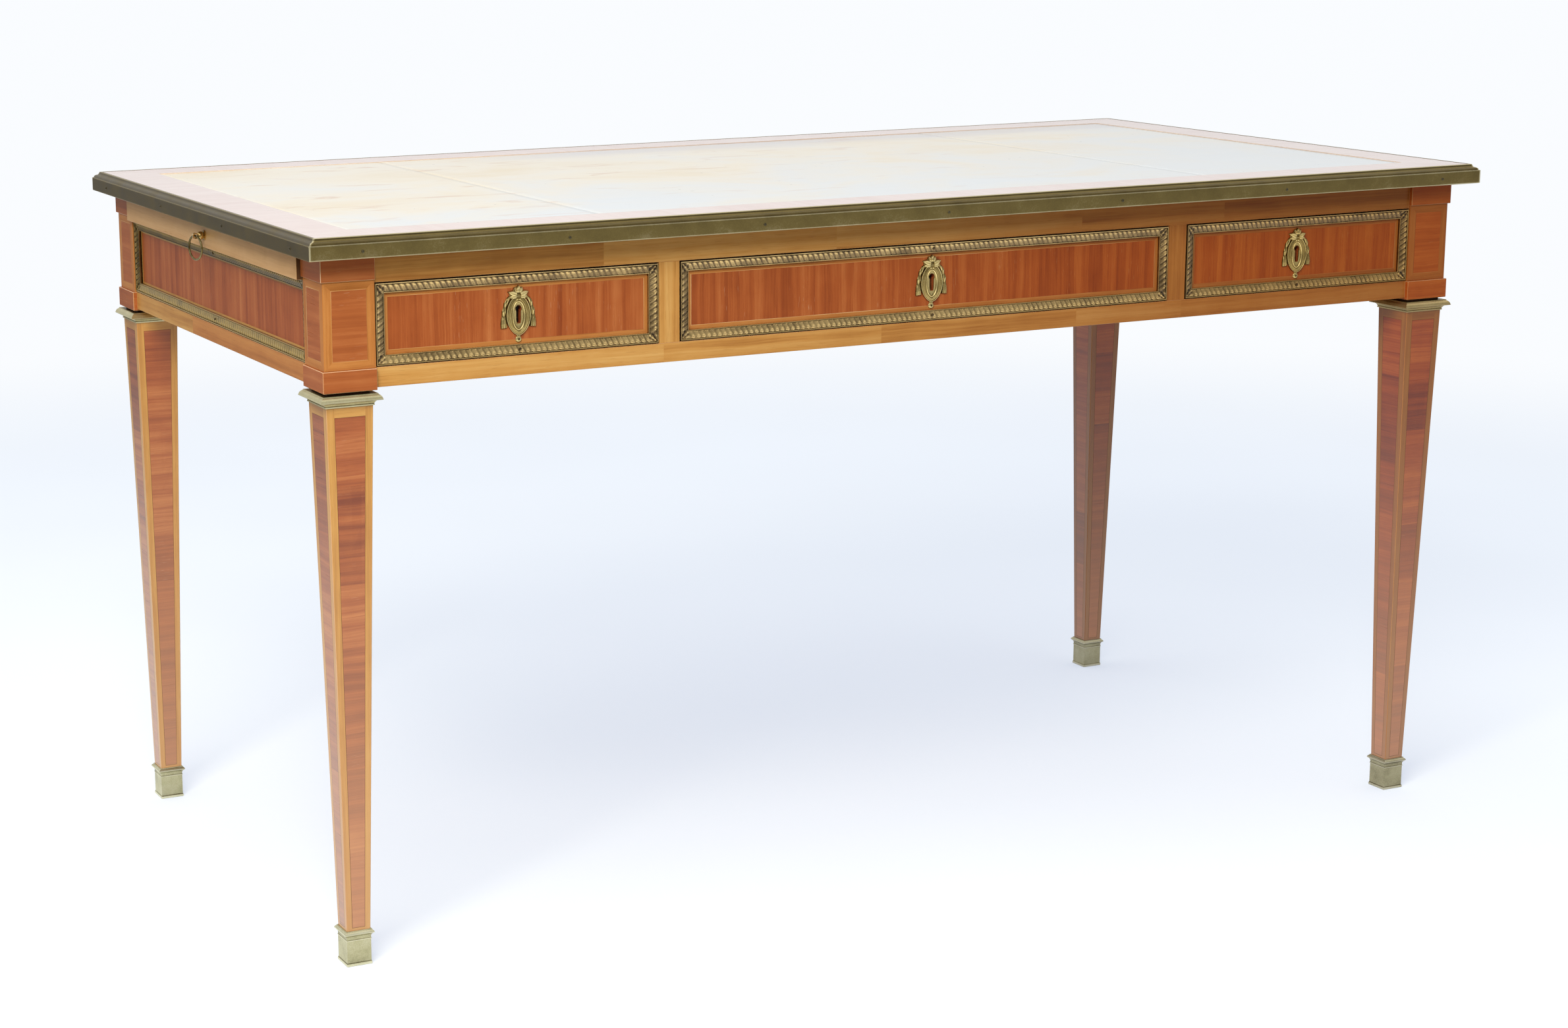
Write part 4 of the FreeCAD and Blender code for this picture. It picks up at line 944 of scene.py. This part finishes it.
def drawer_veneer(bay, number):
    """The panel inside the drawer's leaf frame, pierced for the key."""
    piece, out = Piece(f"drawer_{bay}_veneer"), OUT["front"]
    low, high = [Vector((corner.x, VENEER_Y, corner.z)) for corner in DRAWER[bay]]
    skin = Skin(piece, inset(rectangle(low, high, out), FRAME_WIDTH * MM - FRAME_LAP), out)
    panel_border(skin)
    low, high = skin.quad[0], skin.quad[2]

    def at(x, z):
        return panel_middle(bay, VENEER_Y) + ALONG_X * (x * MM) + UP * (z * MM)

    def region(left, right, bottom, top):
        spots = ((left, bottom), (right, bottom), (right, top), (left, top))
        return Skin(piece, [Vector((x, VENEER_Y, z)) for x, z in spots], out)

    seat_low, seat_high = at(-SEAT_HALF, SEAT_LOW), at(SEAT_HALF, SEAT_HIGH)
    halves = ((low.x, seat_low.x, LEFT_HALF_SEED), (seat_high.x, high.x, RIGHT_HALF_SEED))
    for left, right, seed in halves:
        region(left, right, low.z, high.z).leaves(DRAWER_HALF_LEAVES[bay], seed + number, UP, TULIP)
    leaf = next(leaf_numbers)
    for bottom, top in ((low.z, seat_low.z), (seat_high.z, high.z)):
        piece.face(region(seat_low.x, seat_high.x, bottom, top).quad, TULIP, out, UP, leaf)
    angles = key_angles()
    hole = [at(*from_eye(angle, key_reach(angle))) for angle in angles]
    seat = [box_reach(angle, SEAT_HALF, SEAT_HIGH - KEY_EYE, KEY_EYE - SEAT_LOW) for angle in angles]
    rim = [at(*from_eye(angle, reach)) for angle, reach in zip(angles, seat)]
    sunk = [point - out * VENEER for point in hole]
    for n in range(len(hole)):
        after = (n + 1) % len(hole)
        piece.face([hole[n], hole[after], rim[after], rim[n]], TULIP, out, UP, leaf)
        piece.face([hole[n], hole[after], sunk[after], sunk[n]], TULIP, at(0, KEY_EYE) - hole[n], out, leaf)
    piece.finish("tulipwood", f"drawer_{bay}")


OVAL_OUTER, OVAL_INNER, OVAL_MIDDLE = (13.9, 20.8), (4.4, 12.6), -2.1
# Steps of the oval: share of the way in, level and wear. The wall of the keyhole: level and wear
OVAL_PROFILE = [(0.0, 0.0, 0.0), (0.02, 1.4, 0.5), (0.06, 2.2, 1.0), (0.12, 2.2, 0.9), (0.17, 1.7, 0.25),
                (0.24, 1.9, 0.5), (0.34, 2.1, 0.6), (0.37, 1.9, 0.35), (0.42, 2.1, 0.55), (0.55, 2.2, 0.6),
                (0.63, 1.8, 0.25), (0.69, 2.2, 0.6), (0.75, 2.6, 1.1), (0.82, 2.3, 0.9), (0.90, 1.3, 0.35),
                (1.0, 1.1, 0.8)]
KEY_WALL, KEY_ROOM = [(1.3, 0.6), (0.0, 0.1)], 0.2
# Right half of the bow. Its leaves: root, tip, width and height
BOW = [((0.6, 21.4), (4.6, 27.4), 5.2, 2.6), ((1.0, 19.2), (11.8, 22.6), 7.0, 3.2),
       ((1.4, 17.8), (10.8, 17.2), 5.4, 2.6)]
BOW_BASE = 0.8
BOW_PLATE = [(0, 13.8), (6.4, 14.4), (9.6, 16.6), (10.2, 20.8), (6.0, 23.2), (4.4, 26.6), (0, 28.2)]
PLATE_LEVEL = 1.1
CREST = {"root": (0, 20.8), "lean": 0.0, "length": 8.4, "width": 7.2, "height": 3.4, "base": 1.2}
PETAL_ROWS, PETAL_COLUMNS = 8, 6
# Round heads: place, level, radius, height and wear
BEADS = [(-1.5, 14.4, 1.6, 1.2, 1.2, 0.9), (1.5, 14.4, 1.6, 1.2, 1.2, 0.9), (0, 20.8, 1.6, 1.5, 1.5, 0.1),
         (0, -23.6, 0, 2.5, 1.5, 0.6), (0, -26.7, 0, 3.7, 1.6, 0.75), (0, -26.7, 1.3, 1.3, 0.8, -0.2)]
# Garland of two husks and a tassel: its inner and outer edge, and how full it is there
GARLAND = [(6.4, 17.2, 9.6, 18.8, 0.5), (9.4, 14.4, 13.2, 15.8, 1.0), (11.6, 10.6, 16.0, 11.4, 0.9),
           (12.9, 6.6, 16.6, 7.4, 0.45), (13.7, 2.4, 18.4, 3.2, 1.0), (13.9, -1.8, 18.6, -2.2, 0.45),
           (13.7, -5.8, 19.5, -6.0, 0.9), (13.1, -9.8, 19.9, -10.0, 1.0), (12.3, -13.6, 19.7, -14.4, 0.9),
           (12.5, -14.6, 19.3, -15.4, 0.1)]
GARLAND_STEPS, TASSEL = 4, 5
GARLAND_ACROSS = (-1, -0.97, -0.8, -0.6, -0.4, -0.2, 0, 0.2, 0.4, 0.6, 0.8, 0.97, 1)


def add_oval(piece, place):
    """The stepped oval, pointed below, from its outer edge in to the keyhole and down its wall."""
    angles = key_angles(KEY_ROOM)
    rows = []
    for share, level, wear in OVAL_PROFILE:
        wide, tall = [outer + (inner - outer) * share for outer, inner in zip(OVAL_OUTER, OVAL_INNER)]
        ring = []
        for angle in angles:
            across, rise = cos(angle), sin(angle)
            pinch = 1.0 if rise > 0 else abs(across) ** (0.22 * (1 - share))
            ring.append((place(wide * across * pinch, OVAL_MIDDLE + tall * rise, level), wear))
        rows.append(ring)
    hole = [from_eye(angle, key_reach(angle, KEY_ROOM)) for angle in angles]
    rows += [[(place(x, y, level), wear) for x, y in hole] for level, wear in KEY_WALL]
    piece.sheet(rows, GILT, closed=True)


def add_petal(piece, place, root, lean, length, width, height, base):
    """A swelling leaf on a plate: root is where it starts, and lean its turn from upright.

    v goes along the leaf, and u across it, from -1 to 1.
    """
    rows = []
    for row in range(PETAL_ROWS + 1):
        v = row / PETAL_ROWS
        swell = sin(pi * min(v * 0.94 + 0.06, 1.0) ** 0.75)
        half = width / 2 * max(swell, 0.15 if 0 < row < PETAL_ROWS else 0.04)
        line = []
        for column in range(PETAL_COLUMNS + 1):
            u = 2 * column / PETAL_COLUMNS - 1
            ridge = sqrt(max(0.0, 1 - u * u))
            vein = 0.3 * exp(-(u / 0.25) ** 2)
            level = base + height * (ridge * (0.35 + 0.65 * swell) - vein * swell)
            if column in (0, PETAL_COLUMNS) or row in (0, PETAL_ROWS):
                level = base * 0.2
            x, y = u * half, v * length
            spot = place(root[0] + x * cos(lean) + y * sin(lean), root[1] + y * cos(lean) - x * sin(lean),
                         max(level, 0.0))
            line.append((spot, 0.15 if level <= base * 0.5 else min(1.0, 0.45 + 0.5 * ridge - vein)))
        rows.append(line)
    piece.sheet(rows, GILT)


def add_garland(piece, place, sign):
    """The strip of husks down one side of the oval, which ends in a fluted tassel. u goes across it."""
    last = len(GARLAND) - 1
    stations = np.linspace(0, last, GARLAND_STEPS * last + 1)
    lines = [np.interp(stations, range(len(GARLAND)), values) for values in zip(*GARLAND)]
    rows = []
    for station, x0, y0, x1, y1, full in zip(stations, *lines):
        row = []
        for u in GARLAND_ACROSS:
            crest = sqrt(1 - (u * 0.98) ** 2)
            flute = cos(u * 9.4) if station > TASSEL else cos((u + (station % 2 - 1) * 0.5) * 5)
            level = 0.0 if abs(u) == 1 else (0.5 + 1.5 * crest) * full + 0.25 * flute * full
            share = (u + 1) / 2
            spot = place((x0 + (x1 - x0) * share) * sign, y0 + (y1 - y0) * share, level)
            row.append((spot, 0.0 if u < -0.7 else 0.3 + 0.35 * crest * full + 0.3 * flute))
        rows.append(row)
    piece.sheet(rows, GILT, flip=sign > 0)


def add_bow_plate(piece, place):
    """The flat plate behind the leaves of the bow."""
    outline = BOW_PLATE + [(-x, y) for x, y in BOW_PLATE[-2:0:-1]]
    rows = [[(place(x, y, level), 0.1) for x, y in outline] for level in (0.0, PLATE_LEVEL)]
    piece.sheet(rows, GILT, closed=True)
    piece.face([point for point, wear in rows[1]], GILT, OUT["front"], leaf=0)


def make_escutcheon(bay):
    """An oval stepped plate with a bow above, husks down its sides and a boss below."""
    piece, out = Piece(f"drawer_{bay}_escutcheon_chased"), OUT["front"]

    def place(x, y, level):
        return panel_middle(bay, VENEER_Y) + (ALONG_X * x + UP * y + out * level) * MM

    add_oval(piece, place)
    add_bow_plate(piece, place)
    for sign in (-1, 1):
        add_garland(piece, place, sign)
        for (x0, y0), (x1, y1), width, height in BOW:
            lean = atan2((x1 - x0) * sign, y1 - y0)
            add_petal(piece, place, (x0 * sign, y0), lean, hypot(x1 - x0, y1 - y0), width, height, BOW_BASE)
    add_petal(piece, place, **CREST)
    for x, y, level, radius, height, wear in BEADS:
        dome(piece, place(x, y, level), out, radius, height, GILT, wear)
    piece.finish("gilt_bronze", f"drawer_{bay}", f"drawer_{bay}_escutcheon")


def make_drawers():
    """The fronts of the drawers, and the looks of what is behind them."""
    for number, bay in enumerate(BAYS):
        drawer_veneer(bay, number)
        leaf_frame(f"drawer_{bay}_frame", f"drawer_{bay}", OUT["front"], panel_middle(bay, -PANEL_Y),
                   panel_size(bay), LEAF)
        make_escutcheon(bay)
        dress(OAK_Y, f"drawer_{bay}_box")
        dress(OAK_X, f"drawer_{bay}_bottom")
        dress(CORE, f"drawer_{bay}_front")
        dress(IRON, f"drawer_{bay}_lock", f"drawer_{bay}_lock_bolt")


# Top

TOP_LINE, LINE_DROP = 1.6 * MM, 0.4 * MM
LONG_SIDE_LEAVES, SHORT_SIDE_LEAVES = 9, 5
END_SKIN, SKIN_CELL, SKIN_ROUNDING = 283 * MM, 9 * MM, 0.7 * MM
SKIN_DIP, SKIN_WAVE = 0.5 * MM, 0.05 * MM


def make_border():
    """Cross-banded border: short leaves with their grain square to the edge, and a light inner line."""
    piece = Piece("top_border_veneer")
    high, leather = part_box("top_border")[1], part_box("top_leather")[1]
    width = high.x - leather.x
    seam = width - TOP_LINE
    drop = UP * (high.z - leather.z + LINE_DROP)
    for side in AROUND:
        out, right = OUT[side], right_of(OUT[side])
        half, reach, count = high.x, high.y, LONG_SIDE_LEAVES
        if out.x:
            half, reach, count = high.y, high.x, SHORT_SIDE_LEAVES

        def spot(share, setback):
            run = max(setback - half, min(half - setback, half * (2 * share - 1)))
            return out * (reach - setback) + right * run + UP * high.z

        cuts = joints(count, BORDER_WANDER, f"border {side}")
        for start, end in zip(cuts, cuts[1:]):
            corners = [spot(start, 0), spot(end, 0), spot(end, seam), spot(start, seam)]
            piece.face(corners, TULIP_TOP, UP, out)
        left_end, right_end = spot(0, width), spot(1, width)
        piece.face([spot(0, seam), spot(1, seam), right_end, left_end], LINE_TOP, UP, right)
        piece.face([left_end, right_end, right_end - drop, left_end - drop], LINE_TOP, -out, right, leaf=0)
    piece.finish("tulipwood", "desk", "top_border")


def make_leather():
    """Three skins, faintly uneven, that dip at the joints between them."""
    piece = Piece("top_leather_skins")
    low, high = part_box("top_leather")
    joint = high.x - END_SKIN
    lines = np.linspace(low.y, high.y, round((high.y - low.y) / SKIN_CELL) + 1)
    for x0, x1 in ((low.x, -joint), (-joint, joint), (joint, high.x)):
        columns = np.linspace(x0, x1, round((x1 - x0) / SKIN_CELL) + 1)
        columns = np.sort([*columns, x0 + SKIN_ROUNDING, x1 - SKIN_ROUNDING])
        rows = []
        for y in lines:
            waves = np.sin(columns * 31 + y * 17) + np.sin(columns * 13 - y * 41 + 1.3)
            level = high.z + (waves - 2) * SKIN_WAVE
            level[[0, -1]] -= SKIN_DIP
            rows.append([((x, y, z), 0.5) for x, z in zip(columns, level)])
        piece.sheet(rows, LEATHER)
    piece.finish("leather", "desk", "top_leather")


# Writing slides

LIP_DEPTH, SLIDE_THICKNESS, SLIDE_ARRIS = 18 * MM, 20 * MM, 0.4 * MM


# The lip's ends: dark end grain, with painted shadow.
def end_grain_and_painted_shadow(skin):
    skin.lay(skin.quad, DARK, UP)


def make_slide(side):
    """The slide's board: a pale lip on the end of an oak panel."""
    name = f"slide_{side}_board"
    low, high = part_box(name)
    face_x, back_x = end_faces(side, name)
    lip_x = face_x - SIDES[side] * LIP_DEPTH
    piece = Piece(f"{name}_veneer")
    block(piece, (face_x, low.y, low.z), (lip_x, high.y, high.z), SLIDE_ARRIS, SATIN_LIP, ALONG_Y,
          covers={"front": end_grain_and_painted_shadow, "back": end_grain_and_painted_shadow})
    block(piece, (lip_x, low.y, low.z), (back_x, high.y, low.z + SLIDE_THICKNESS), SLIDE_ARRIS, OAK_Y,
          ALONG_Y)
    piece.finish("oak", f"slide_{side}", name)
    dress(PULL, f"slide_{side}_pull")
    dress(RING, f"slide_{side}_ring")


# Everything in turn

for row, side in product(ROWS, SIDES):
    make_leg(row, side)
    make_mounts(row, side)
for side in AROUND:
    make_top_edge(side)
make_pins()
make_rails()
make_back()
make_drawers()
make_border()
make_leather()
for side in SIDES:
    make_end(side)
    make_slide(side)
dress(OAK_Y, "drawer_runners")
dress(OAK_X, "slide_bearers", "top_board")
dress(IRON, "top_screws")


# Floor, light and camera

BACKDROP = (0.955, 0.975, 1.0, 1)
FLOOR_GLOW = (0.405, 0.475, 0.63, 1)
FLOOR_REACH = 14.0
SENSOR, LENS, SHIFT = 36, 68.83, 0.1387
CAMERA_PLACE, CAMERA_TURN = (-1.72593, -3.11906, 1.13175), (77.6423, 0.5319, -24.9455)


def make_floor():
    """A pale floor that turns into the backdrop away from the desk, and keeps the desk's shadow."""
    shade = Shade("floor", Roughness=0.9, Specular_IOR_Level=0.0)
    x, y, z = place = shade.place()
    away = (x * x + y * y).step(3.5, 14.0)
    cloud = shade.noise(place, 1.2, 2.0)
    paper = shade.ramp(cloud, (0.3, (0.59, 0.56, 0.45, 1)), (0.7, (0.62, 0.59, 0.48, 1)))
    shade.set("Base Color", shade.blend(away, paper, (0, 0, 0, 1)))
    shade.set("Emission Color", shade.blend(away, FLOOR_GLOW, BACKDROP))
    mirrored = x.step(-1.7, -0.6) * (1.0 - away * 0.6) + 0.25
    shade.set("Emission Strength", shade.ray("Camera") + shade.ray("Glossy") * mirrored)
    mesh = bpy.data.meshes.new("floor")
    mesh.from_pydata(flat_quad(-FLOOR_REACH, FLOOR_REACH, -FLOOR_REACH, FLOOR_REACH, 0), [], [(0, 1, 2, 3)])
    mesh.materials.append(shade.material)
    floor = add_object("floor", mesh)


def make_world():
    """White for the camera; the room is dimmer in front, and mirrors show its ceiling and a window."""
    world = bpy.data.worlds.new("studio")
    bpy.context.scene.world = world
    world.use_nodes = True
    nodes = Nodes(world.node_tree)
    x, y, z = nodes.place("Generated")
    glossy = nodes.ray("Glossy")
    room = (y * 0.8 + z * 0.5 + x * 0.3).step(-0.8, 0.7) * 0.6 + 0.25
    ceiling = z.step(0.42, 0.72)
    window = (x * -0.58 - y * 0.64 + z * 0.5).step(0.88, 0.99)
    room = room * (glossy * 0.25 + 0.75) + glossy * (ceiling * 0.5 + window * 1.6)
    background = world.node_tree.nodes["Background"]
    background.inputs["Color"].default_value = BACKDROP
    nodes.feed(background.inputs["Strength"], room.math("MAXIMUM", nodes.ray("Camera")))


def make_lamp(name, position, target, size, power):
    """A soft lamp that mirrors don't show."""
    lamp = bpy.data.lights.new(name, "AREA")
    lamp.shape = "RECTANGLE"
    lamp.size, lamp.size_y = size
    lamp.energy = power
    holder = add_object(name, lamp)
    holder.location = position
    holder.rotation_euler = (Vector(target) - Vector(position)).to_track_quat("-Z", "Y").to_euler()
    holder.visible_glossy = False


def make_camera():
    """The photo's camera, fitted to corners of the desk."""
    camera = bpy.data.cameras.new("camera")
    camera.sensor_width, camera.lens, camera.shift_x = SENSOR, LENS, SHIFT
    holder = add_object("camera", camera)
    holder.location = CAMERA_PLACE
    holder.rotation_euler = Euler([radians(angle) for angle in CAMERA_TURN], "XYZ")
    bpy.context.scene.camera = holder


make_floor()
make_world()
make_lamp("key", position=(-2.1, -2.3, 2.6), target=(0, -0.1, 0.5), size=(1.8, 1.5), power=118)
make_lamp("overhead", position=(-0.4, -0.3, 4.0), target=(0, 0, 0), size=(4.0, 3.0), power=36)
make_camera()
bpy.context.scene.view_settings.view_transform = "Standard"
